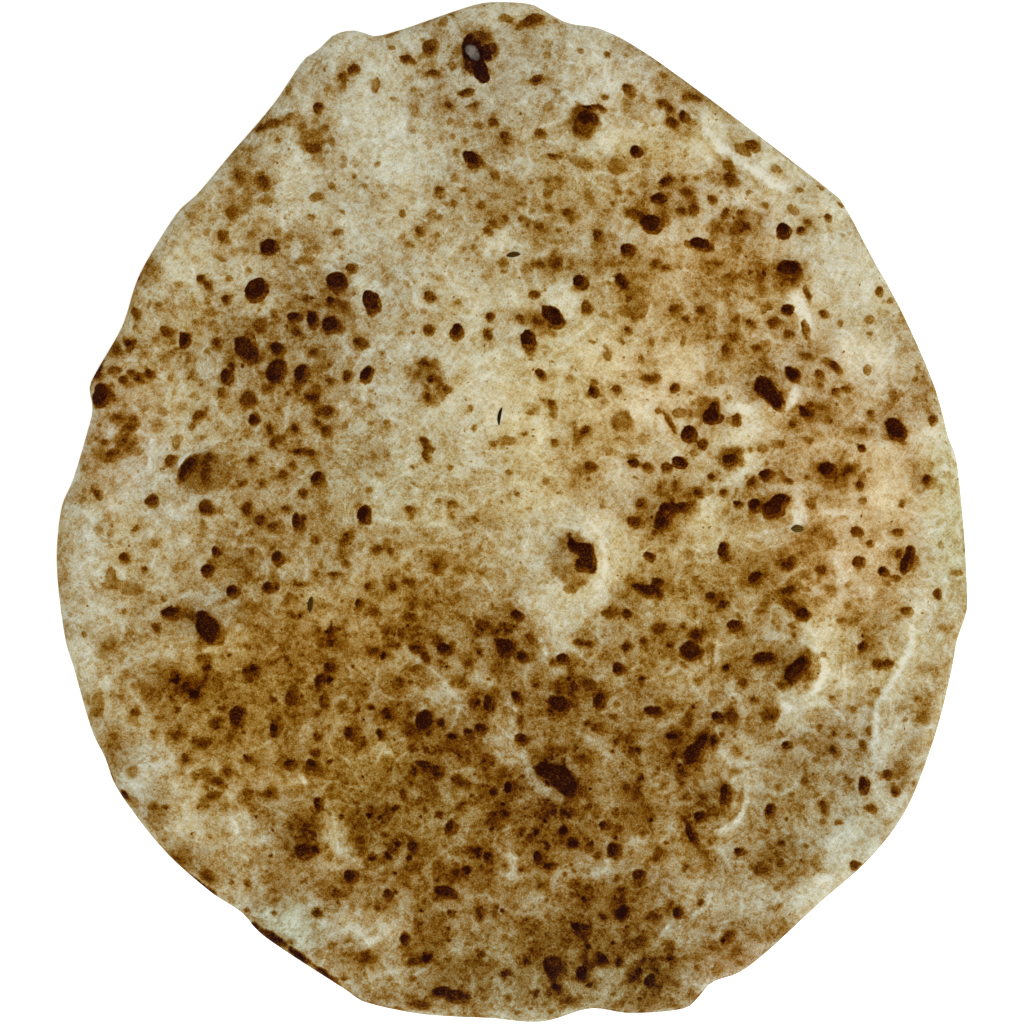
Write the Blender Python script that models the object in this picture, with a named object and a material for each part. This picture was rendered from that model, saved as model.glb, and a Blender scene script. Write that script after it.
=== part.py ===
"""A naan: a hand-stretched flat bread with charred blisters and four cumin seeds baked on.

The shape is worked out in millimetres and scaled to metres at the end. +Z is up, +X is the
right-hand side and +Y the far side of the bread as it lies. The origin is on the table, under
the middle of the bread.
"""

import bisect
import math
from collections import namedtuple

import bmesh
import bpy
from mathutils import Matrix, Vector, noise

MM = 0.001

# Driving dimensions, in millimetres.
WIDTH = 255.0
LENGTH = 285.6
DOUGH_THICKNESS = 4.4

# The rim: a soft roll round the bread, with its widest line a little above the table.
RIM_RISE = 0.8
RIM_MIDDLE = 9.0
RIM_SPREAD = 6.0
RIM_UNEVENNESS = 0.9
RIM_ROUNDING = 5.5
RIM_WAIST = 1.7
FACE_INSET = 1.2
RIM_ROWS = ((0.3, 0.8), (0.0, 0.62), (0.5, 0.4), (2.2, 0.0))  # inset, share of the last height

# The dough's own unevenness: size and height of the slow waves and of the small ones.
WAVES = ((42.0, 0.75), (15.0, 0.35))
WAVE_SEED = Vector((7.3, 2.1, 4.7))

# A blister's foot is wider than its charred top, and it is higher the wider it is.
BLISTER_FOOT = 1.6
BLISTER_RISE = 0.32
WIDE_BLISTER = 4.0

GRID_CELLS = 56
CURVE_STEPS = 16

Swelling = namedtuple("Swelling", "x y length width turn rise")
Blister = namedtuple("Blister", "x y length width turn")
Ridge = namedtuple("Ridge", "points width rise")
Seed = namedtuple("Seed", "x y length width turn")

# The edge of the bread, clockwise from the far end, with its notches and lumps.
OUTLINE = (
    (-6.0, 142.4), (4.6, 142.0), (9.0, 140.2), (15.7, 136.6), (25.0, 134.9), (36.0, 129.2),
    (53.8, 116.6), (71.7, 103.2), (88.2, 90.4), (92.8, 86.0), (100.6, 71.6), (109.4, 55.4),
    (118.2, 35.3), (122.2, 20.8), (124.6, 13.6), (126.6, -6.0), (127.5, -23.6), (127.1, -29.0),
    (124.6, -36.4), (122.6, -47.0), (118.0, -64.2), (110.6, -83.2), (100.5, -96.9),
    (87.4, -108.6), (80.2, -115.2), (72.0, -122.8), (64.0, -129.0), (56.0, -131.9),
    (52.2, -136.2), (47.6, -139.4), (33.0, -140.5), (22.0, -139.2), (8.5, -142.9),
    (-6.0, -141.9), (-25.0, -140.8), (-41.0, -137.4), (-46.5, -133.9), (-68.6, -119.4),
    (-75.4, -112.4), (-84.8, -106.1), (-97.8, -94.2), (-109.9, -78.2), (-113.6, -69.0),
    (-117.4, -61.2), (-122.2, -44.6), (-125.0, -34.6), (-127.2, -15.0), (-126.0, 0.2),
    (-122.6, 9.0), (-118.9, 21.2), (-117.2, 28.6), (-118.0, 34.6), (-115.8, 39.6),
    (-108.8, 52.0), (-104.0, 66.2), (-94.0, 82.8), (-87.8, 88.8), (-79.0, 99.4),
    (-67.0, 113.4), (-58.4, 126.0), (-54.4, 128.8), (-49.4, 133.4), (-43.2, 134.5),
    (-38.6, 132.9), (-32.0, 134.4), (-25.0, 136.7), (-13.2, 140.8),
)

# Broad stretches that puffed up towards the fire and browned all over.
PUFFS = (
    Swelling(-40, -60, 125, 75, 0, 1.0),
    Swelling(76, -2, 95, 62, 80, 0.9),
    Swelling(32, 80, 90, 46, -10, 0.9),
    Swelling(-66, 42, 52, 46, 0, 0.8),
    Swelling(18, -116, 92, 40, 5, 0.8),
    Swelling(76, -84, 52, 42, 60, 0.7),
    Swelling(-56, 104, 42, 30, 50, 0.6),
)

# Single bubbles, most of which carry a charred blister on top.
BUBBLES = (
    Swelling(17.5, -12.5, 17, 16, 0, 2.6),
    Swelling(80, -43, 18, 16, 45, 2.3),
    Swelling(59, -80.5, 15, 14, 0, 2.0),
    Swelling(-86, 11, 17, 14, -10, 2.2),
    Swelling(13.5, -75, 18, 13, -35, 2.0),
    Swelling(-85, -33, 14, 13, -45, 2.0),
    Swelling(42.5, 0, 17, 12, 80, 1.4),
    Swelling(-57, -93, 19, 16, 90, 1.4),
    Swelling(-22.5, 37.5, 17, 13, 90, 1.2),
    Swelling(20, 109, 12, 11, 0, 1.5),
    Swelling(-9.5, 126, 19, 13, 80, 2.4),
    Swelling(78, -96, 22, 16, 0, 1.2),
    Swelling(-38.5, -86, 17, 15, 0, 1.2),
    Swelling(51, -66.5, 17, 11, 65, 1.4),
)

# Charred blisters, each with the length and width of its dark top.
BLISTERS = (
    Blister(-10.5, 99, 6, 4, -5), Blister(-23, 130.5, 4.5, 3, 20), Blister(-18, 136.5, 5.5, 4, 20),
    Blister(-68.5, 74.5, 5, 4, 0), Blister(20, 109, 7.5, 6.5, 0), Blister(39, 81, 6, 5, 0),
    Blister(52.5, 75, 6, 3.5, 0), Blister(62, 79, 6.5, 4, -20), Blister(76, 78.5, 4.5, 4, 0),
    Blister(-71.5, 62, 6, 5, 45), Blister(-74, 45.5, 8, 6.5, -30), Blister(-115, 32, 6.5, 4.5, 60),
    Blister(-49.5, 64.5, 5.5, 4, 90), Blister(-39.5, 59, 5.5, 4, -60), Blister(-50.5, 52.5, 5, 4, 0),
    Blister(-66, 40, 6.5, 5, 60), Blister(-59, 38.5, 6, 3.5, 60), Blister(-41, 38.5, 5, 3, 45),
    Blister(-86, 11, 9, 6, -10), Blister(-41.5, -1, 5.5, 4, 90), Blister(-60, -3, 5, 2.5, 80),
    Blister(11, 54.5, 7.5, 4.5, -35), Blister(4.5, 48, 5.5, 3.5, 90), Blister(55.5, 28, 7.5, 5.5, 0),
    Blister(61, 15.5, 6.5, 5.5, 0), Blister(71.5, 33.5, 8, 5.5, -40), Blister(77.5, 67, 6.5, 4, 0),
    Blister(106.5, 23, 6.5, 5.5, 0), Blister(88, 12.5, 4.5, 4.5, 0), Blister(73, 2, 6.5, 5.5, 0),
    Blister(42.5, 0, 11, 5, 80), Blister(18.5, -11.5, 8, 6, -40), Blister(38, -21.5, 8.5, 4, -10),
    Blister(58.5, -10.5, 5, 3.5, 90), Blister(68, -18, 5.5, 3.5, -20),
    Blister(78.5, -26.5, 6.5, 5, -40), Blister(50, -39, 5.5, 4, 0), Blister(70.5, -40.5, 6, 4, 0),
    Blister(79, -44, 9, 5, 45), Blister(110.5, -12.5, 8.5, 3.5, 75), Blister(13, -53.5, 5.5, 4.5, 0),
    Blister(24, -53, 5, 3.5, 60), Blister(39, -55.5, 5, 3.5, 0), Blister(51, -66.5, 10.5, 5.5, 65),
    Blister(59, -79, 6, 4, 90), Blister(13.5, -75, 12, 8, -35), Blister(50, -89, 7.5, 3.5, -65),
    Blister(98.5, -76, 5.5, 2.5, 80), Blister(11, -127, 7.5, 6, 0), Blister(19.5, -128, 5, 4, 60),
    Blister(38.5, -130.5, 5, 4.5, 0), Blister(-16, -135, 10, 5.5, -20), Blister(-1.5, -37.5, 6, 5, 0),
    Blister(-6.5, -53, 5.5, 3.5, 90), Blister(-25, -58, 6.5, 6, 0), Blister(-22.5, -71.5, 6, 5, -30),
    Blister(-58, -94, 7.5, 5.5, -10), Blister(-19, -105.5, 6, 4, 10), Blister(-17.5, -87, 5.5, 3.5, 65),
    Blister(-76.5, -57.5, 6.5, 5, 90), Blister(-90.5, -49.5, 7.5, 5.5, -50),
    Blister(-85, -33, 9, 7.5, -45), Blister(-95.5, -28, 6, 4, 20), Blister(-51.5, -43.5, 5, 3, 65),
)

# Creases and folds left by stretching and slapping the dough.
RIDGES = (
    Ridge(((49.8, 104.2), (61.0, 100.0), (71.7, 92.6), (82.0, 86.0), (90.0, 84.0)), 3.2, 1.1),
    Ridge(((112.6, -24.0), (107.8, -45.6), (101.4, -58.5), (100.0, -73.0), (94.0, -91.0)), 4.2, 1.5),
    Ridge(((56.0, -105.0), (53.5, -112.6), (39.2, -119.8), (27.4, -130.0)), 3.2, 1.2),
    Ridge(((-31.0, -112.5), (-35.6, -117.0), (-42.8, -121.5)), 3.4, 1.3),
    Ridge(((-66.0, -76.0), (-57.4, -72.2)), 3.0, 1.0),
    Ridge(((-10.0, 119.0), (-4.8, 116.0), (0.0, 114.0)), 2.8, 0.8),
)

# The hollow torn in the top of the bubble that burst near the far end.
BURST = Swelling(-9.8, 127.4, 6.0, 4.6, 70, -2.8)

# Cumin seeds pressed into the top.
SEEDS = {
    "seed_middle": Seed(-3.2, 26.6, 5.2, 1.0, 81),
    "seed_far": Seed(0.3, 71.7, 4.0, 1.5, 8),
    "seed_left": Seed(-56.2, -25.9, 4.5, 1.5, 84),
    "seed_right": Seed(79.5, -4.7, 3.6, 2.1, 0),
}
SEED_SIDES = 6
SEED_RINGS = 5
SEED_SHOWING = 0.55

CRUST_COLOUR = (0.33, 0.22, 0.09, 1.0)
CRUST_ROUGHNESS = 0.85


def clear_scene():
    for thing in list(bpy.data.objects):
        bpy.data.objects.remove(thing, do_unlink=True)


def closed_curve(points, steps):
    """A smooth closed curve through the points, as a list of vectors."""
    count = len(points)
    curve = []
    for start in range(count):
        before, here, after, beyond = (Vector(points[(start + k) % count]) for k in (-1, 0, 1, 2))
        for step in range(steps):
            t = step / steps
            bend = 2 * before - 5 * here + 4 * after - beyond
            twist = 3 * here - before - 3 * after + beyond
            curve.append((2 * here + (after - before) * t + bend * t**2 + twist * t**3) / 2)
    return curve


def edge_by_angle():
    """The outline as sorted angles and the edge's distance from the origin at each."""
    curve = closed_curve(OUTLINE, CURVE_STEPS)
    right, left = max(p.x for p in curve), min(p.x for p in curve)
    far, near = max(p.y for p in curve), min(p.y for p in curve)
    polar = []
    for point in curve:
        x = (point.x - (right + left) / 2) * WIDTH / (right - left)
        y = (point.y - (far + near) / 2) * LENGTH / (far - near)
        polar.append((math.atan2(y, x), math.hypot(x, y)))
    polar.sort()
    first, last = polar[0], polar[-1]
    polar.insert(0, (last[0] - math.tau, last[1]))
    polar.append((first[0] + math.tau, first[1]))
    return [angle for angle, _ in polar], [reach for _, reach in polar]


EDGE_ANGLES, EDGE_REACHES = edge_by_angle()


def edge_reach(angle):
    """How far the edge is from the origin in a direction."""
    k = bisect.bisect_right(EDGE_ANGLES, angle)
    share = (angle - EDGE_ANGLES[k - 1]) / (EDGE_ANGLES[k] - EDGE_ANGLES[k - 1])
    return EDGE_REACHES[k - 1] + share * (EDGE_REACHES[k] - EDGE_REACHES[k - 1])


def off_centre(x, y, shape):
    """0 at the middle of an elliptic shape and 1 on its border."""
    turn = math.radians(shape.turn)
    along = (x - shape.x) * math.cos(turn) + (y - shape.y) * math.sin(turn)
    across = (y - shape.y) * math.cos(turn) - (x - shape.x) * math.sin(turn)
    return math.hypot(2 * along / shape.length, 2 * across / shape.width)


def dome(distance):
    """A round-topped dome that runs out smoothly at distance 1."""
    return (1 - distance**2) ** 2 if distance < 1 else 0.0


def swelling(x, y, shape):
    return shape.rise * dome(off_centre(x, y, shape))


def blister(x, y, shape):
    return BLISTER_RISE * shape.width * dome(off_centre(x, y, shape) / BLISTER_FOOT)


def ridge(x, y, shape):
    here = Vector((x, y))
    nearest = shape.width
    for a, b in zip(shape.points, shape.points[1:]):
        start, along = Vector(a), Vector(b) - Vector(a)
        share = min(1.0, max(0.0, (here - start).dot(along) / along.length_squared))
        nearest = min(nearest, (here - start - along * share).length)
    return shape.rise * dome(nearest / shape.width)


def dough(x, y):
    """The thickness of the dough with its waves, before anything rises on it."""
    height = DOUGH_THICKNESS
    for size, rise in WAVES:
        height += rise * noise.noise(Vector((x, y, 0)) / size + WAVE_SEED)
    return height


def rim(x, y, edge):
    """The soft roll inside the edge, higher in some places than in others."""
    strength = 1 + RIM_UNEVENNESS * noise.noise(Vector((x, y, 0)) / 30 - WAVE_SEED)
    return RIM_RISE * strength * math.exp(-(((edge - RIM_MIDDLE) / RIM_SPREAD) ** 2))


def round_off(height, edge):
    """Lowers the top to the rim's widest line as it comes to the edge."""
    depth = 1 - min(max(edge, 0.0) / RIM_ROUNDING, 1.0)
    return RIM_WAIST + (height - RIM_WAIST) * math.sqrt(1 - depth**2)


def top_height(x, y):
    """The height of the bread's top above the table."""
    edge = edge_reach(math.atan2(y, x)) - math.hypot(x, y)
    height = dough(x, y) + rim(x, y, edge)
    height += sum(swelling(x, y, puff) for puff in PUFFS)
    height += max(swelling(x, y, bubble) for bubble in BUBBLES)
    height += max(blister(x, y, spot) for spot in BLISTERS)
    height += max(ridge(x, y, fold) for fold in RIDGES)
    height += swelling(x, y, BURST)
    return round_off(height, edge)


def face_place(u, v):
    """Where a point of the unit square lies on the bread's face."""
    x, y = u * math.sqrt(1 - v * v / 2), v * math.sqrt(1 - u * u / 2)
    share, angle = math.hypot(x, y), math.atan2(y, x)
    plain = WIDTH * LENGTH / 2 / math.hypot(LENGTH * math.cos(angle), WIDTH * math.sin(angle))
    reach = plain + (edge_reach(angle) - FACE_INSET - plain) * share**2
    return share * reach * math.cos(angle), share * reach * math.sin(angle)


def refine(bm, shapes, foot=1.0):
    """Halves the faces on the given shapes, where the top bends most."""

    def is_on_shape(edge):
        middle = (edge.verts[0].co + edge.verts[1].co) / 2
        return any(off_centre(middle.x, middle.y, shape) < foot for shape in shapes)

    marked = [edge for edge in bm.edges if is_on_shape(edge)]
    bmesh.ops.subdivide_edges(bm, edges=marked, cuts=1, use_grid_fill=True)


def on_bubble(spot):
    return any(off_centre(spot.x, spot.y, bubble) < 1 for bubble in BUBBLES)


def shape_face(bm):
    bmesh.ops.create_grid(bm, x_segments=GRID_CELLS, y_segments=GRID_CELLS, size=1)
    for vert in bm.verts:
        vert.co.xy = face_place(vert.co.x, vert.co.y)
    refine(bm, BUBBLES)
    refine(bm, [BURST])
    alone = [spot for spot in BLISTERS if spot.width >= WIDE_BLISTER and not on_bubble(spot)]
    refine(bm, alone, BLISTER_FOOT)
    for vert in bm.verts:
        vert.co.z = top_height(vert.co.x, vert.co.y)


def shape_rim(bm):
    """Rows of faces from the border of the top, round the edge and under to the table."""
    border = [edge for edge in bm.edges if edge.is_boundary]
    for inset, share in RIM_ROWS:
        grown = bmesh.ops.extrude_edge_only(bm, edges=border)["geom"]
        for vert in (item for item in grown if isinstance(item, bmesh.types.BMVert)):
            angle = math.atan2(vert.co.y, vert.co.x)
            reach = edge_reach(angle) - inset
            vert.co = (reach * math.cos(angle), reach * math.sin(angle), share * vert.co.z)
        border = [item for item in grown if isinstance(item, bmesh.types.BMEdge)]
    return border


def crust_material():
    material = bpy.data.materials.new("crust")
    material.use_nodes = True
    shader = material.node_tree.nodes["Principled BSDF"]
    shader.inputs["Base Color"].default_value = CRUST_COLOUR
    shader.inputs["Roughness"].default_value = CRUST_ROUGHNESS
    shader.inputs["Metallic"].default_value = 0.0
    return material


def add_object(name, bm, collection, material):
    bmesh.ops.recalc_face_normals(bm, faces=bm.faces)
    bmesh.ops.scale(bm, vec=(MM, MM, MM), verts=bm.verts)
    mesh = bpy.data.meshes.new(name)
    bm.to_mesh(mesh)
    bm.free()
    mesh.materials.append(material)
    thing = bpy.data.objects.new(name, mesh)
    collection.objects.link(thing)
    return thing


def make_bread(collection, material):
    bm = bmesh.new()
    shape_face(bm)
    underside = shape_rim(bm)
    bmesh.ops.edgeloop_fill(bm, edges=underside)
    bmesh.ops.triangulate(bm, faces=bm.faces)
    return add_object("naan", bm, collection, material)


def make_seed(name, seed, collection, material):
    """A spindle with a pointed end each way, lying on the top and pressed into it."""
    thickness = 0.85 * seed.width
    bm = bmesh.new()
    bmesh.ops.create_uvsphere(bm, u_segments=SEED_SIDES, v_segments=SEED_RINGS, radius=0.5)
    upright_to_lying = Matrix.Rotation(math.radians(90), 4, "Y")
    size = Matrix.Diagonal((seed.length, seed.width, thickness, 1))
    place = Vector((seed.x, seed.y, top_height(seed.x, seed.y) + (SEED_SHOWING - 0.5) * thickness))
    turn = Matrix.Rotation(math.radians(seed.turn), 4, "Z")
    bm.transform(Matrix.Translation(place) @ turn @ size @ upright_to_lying)
    return add_object(name, bm, collection, material)


def fuse(bread, seeds):
    """Joins the seeds to the bread as one body, and removes them."""
    union = bread.modifiers.new("seeds", "BOOLEAN")
    union.operation = "UNION"
    union.solver = "EXACT"
    union.operand_type = "COLLECTION"
    union.collection = seeds
    depsgraph = bpy.context.evaluated_depsgraph_get()
    fused = bpy.data.meshes.new_from_object(bread.evaluated_get(depsgraph))
    bread.modifiers.clear()
    bread.data = fused
    fused.name = bread.name
    for seed in list(seeds.objects):
        bpy.data.objects.remove(seed, do_unlink=True)
    bpy.data.collections.remove(seeds)


def shade(thing):
    thing.data.shade_smooth()
    thing.data.set_sharp_from_angle(angle=math.radians(40))


def build():
    clear_scene()
    bread_collection = bpy.data.collections.new("naan")
    seed_collection = bpy.data.collections.new("seeds")
    for collection in (bread_collection, seed_collection):
        bpy.context.scene.collection.children.link(collection)
    crust = crust_material()
    bread = make_bread(bread_collection, crust)
    for name, seed in SEEDS.items():
        lump = make_seed(name, seed, seed_collection, crust)
        lump.hide_render = True
        lump.display_type = "WIRE"
    fuse(bread, seed_collection)
    shade(bread)


build()
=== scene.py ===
import math
import random

import bmesh
import bpy
import numpy as np
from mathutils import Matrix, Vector, noise


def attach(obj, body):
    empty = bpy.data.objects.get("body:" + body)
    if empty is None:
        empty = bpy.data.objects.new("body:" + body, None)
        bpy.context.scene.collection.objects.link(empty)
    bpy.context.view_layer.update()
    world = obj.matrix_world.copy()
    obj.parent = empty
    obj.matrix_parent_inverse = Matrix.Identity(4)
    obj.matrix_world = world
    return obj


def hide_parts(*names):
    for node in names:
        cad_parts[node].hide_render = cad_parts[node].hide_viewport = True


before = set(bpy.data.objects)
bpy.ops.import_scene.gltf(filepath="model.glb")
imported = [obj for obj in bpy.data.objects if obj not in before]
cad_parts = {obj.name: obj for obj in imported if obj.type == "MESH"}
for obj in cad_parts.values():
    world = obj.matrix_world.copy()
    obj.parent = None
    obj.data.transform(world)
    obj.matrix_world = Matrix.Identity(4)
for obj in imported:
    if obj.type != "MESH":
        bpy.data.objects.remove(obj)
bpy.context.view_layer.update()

# ---------------------------------------------------------------------------------------
# Sizes of the dough, in millimetres from the middle of its underside. They are scaled to
# metres at the end. Those of the outline, rim, bubbles and folds are the same as the solid's.
# ---------------------------------------------------------------------------------------
MM = 0.001
WIDTH = 255.0
LENGTH = 285.6
DOUGH_THICKNESS = 4.4
RIM_RISE = 0.8
RIM_MIDDLE = 9.0
RIM_SPREAD = 6.0
RIM_ROUNDING = 5.5
RIM_WAIST = 1.7
FACE_INSET = 1.2
RIM_ROWS = ((0.3, 0.8), (0.0, 0.62), (0.5, 0.4), (2.2, 0.0))  # inset, share of the last height
CURVE_STEPS = 16

# Unevenness, as size, strength and seed: of the top, of the rim's rise, of the folds' rise,
# of the fine crust, and of the outlines of marks and folds.
WAVE_SEED = (7.3, 2.1, 4.7)
WAVES = ((42.0, 0.75, WAVE_SEED), (15.0, 0.35, WAVE_SEED))
RIM_WAVES = ((30, 0.9, (-7.3, -2.1, -4.7)),)
FOLD_WAVES = ((7, 0.9, (8, 3, 6)),)
CRUST_WAVES = ((4.5, 0.30, (2, 6, 4)), (1.9, 0.12, (5, 1, 8)))
RAGS_X = ((2.6, 0.55, (3.1, 8.8, 1.0)), (6, 0.5, (1, 2, 3)))
RAGS_Y = ((2.6, 0.55, (9.4, 0.7, 5.0)), (6, 0.5, (7, 5, 9)))

FOLD_SHARE = 0.45  # the folds are softer than the solid's
FOLD_ENDS = 0.35  # the share of a fold's height that its very ends keep
TAPER = 0.6  # the power by which lines grow stronger from their ends
BLISTER_FOOT = 1.35  # how far a blister reaches, where its mark's border is at 1
TALLEST_BLISTER = 1.1
PLATEAU_FOOT = 1.15  # how far a stretch reaches, where its border is at 1
PLATEAU_SLOPE = 0.75

# The picture's width and height in pixels, and the width of one on the bread. The picture's
# middle is over the bread's middle.
PICTURE = 1024
PIXEL = 0.28

OUTLINE = (
    (-6.0, 142.4), (4.6, 142.0), (9.0, 140.2), (15.7, 136.6), (25.0, 134.9), (36.0, 129.2),
    (53.8, 116.6), (71.7, 103.2), (88.2, 90.4), (92.8, 86.0), (100.6, 71.6), (109.4, 55.4),
    (118.2, 35.3), (122.2, 20.8), (124.6, 13.6), (126.6, -6.0), (127.5, -23.6), (127.1, -29.0),
    (124.6, -36.4), (122.6, -47.0), (118.0, -64.2), (110.6, -83.2), (100.5, -96.9),
    (87.4, -108.6), (80.2, -115.2), (72.0, -122.8), (64.0, -129.0), (56.0, -131.9),
    (52.2, -136.2), (47.6, -139.4), (33.0, -140.5), (22.0, -139.2), (8.5, -142.9),
    (-6.0, -141.9), (-25.0, -140.8), (-41.0, -137.4), (-46.5, -133.9), (-68.6, -119.4),
    (-75.4, -112.4), (-84.8, -106.1), (-97.8, -94.2), (-109.9, -78.2), (-113.6, -69.0),
    (-117.4, -61.2), (-122.2, -44.6), (-125.0, -34.6), (-127.2, -15.0), (-126.0, 0.2),
    (-122.6, 9.0), (-118.9, 21.2), (-117.2, 28.6), (-118.0, 34.6), (-115.8, 39.6),
    (-108.8, 52.0), (-104.0, 66.2), (-94.0, 82.8), (-87.8, 88.8), (-79.0, 99.4),
    (-67.0, 113.4), (-58.4, 126.0), (-54.4, 128.8), (-49.4, 133.4), (-43.2, 134.5),
    (-38.6, 132.9), (-32.0, 134.4), (-25.0, 136.7), (-13.2, 140.8),
)

# Swellings: middle x and y, length, width, turn in degrees and rise.
PUFFS = (
    (-40, -60, 125, 75, 0, 1.0), (76, -2, 95, 62, 80, 0.9), (32, 80, 90, 46, -10, 0.9),
    (-66, 42, 52, 46, 0, 0.8), (18, -116, 92, 40, 5, 0.8), (76, -84, 52, 42, 60, 0.7),
    (-56, 104, 42, 30, 50, 0.6),
)
BUBBLES = (
    (17.5, -12.5, 17, 16, 0, 2.6), (80, -43, 18, 16, 45, 2.3), (59, -80.5, 15, 14, 0, 2.0),
    (-86, 11, 17, 14, -10, 2.2), (13.5, -75, 18, 13, -35, 2.0), (-85, -33, 14, 13, -45, 2.0),
    (42.5, 0, 17, 12, 80, 1.4), (-57, -93, 19, 16, 90, 1.4), (-22.5, 37.5, 17, 13, 90, 1.2),
    (20, 109, 12, 11, 0, 1.5), (-9.5, 126, 19, 13, 80, 2.4), (78, -96, 22, 16, 0, 1.2),
    (-38.5, -86, 17, 15, 0, 1.2), (51, -66.5, 17, 11, 65, 1.4),
)
BURST = (-9.8, 127.4, 6.0, 4.6, 70, -2.8)
FOLDS = (  # points, width, rise
    (((49.8, 104.2), (61.0, 100.0), (71.7, 92.6), (82.0, 86.0), (90.0, 84.0)), 3.2, 1.1),
    (((112.6, -24.0), (107.8, -45.6), (101.4, -58.5), (100.0, -73.0), (94.0, -91.0)), 4.2, 1.5),
    (((56.0, -105.0), (53.5, -112.6), (39.2, -119.8), (27.4, -130.0)), 3.2, 1.2),
    (((-31.0, -112.5), (-35.6, -117.0), (-42.8, -121.5)), 3.4, 1.3),
    (((-66.0, -76.0), (-57.4, -72.2)), 3.0, 1.0),
    (((-10.0, 119.0), (-4.8, 116.0), (0.0, 114.0)), 2.8, 0.8),
)

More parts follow.
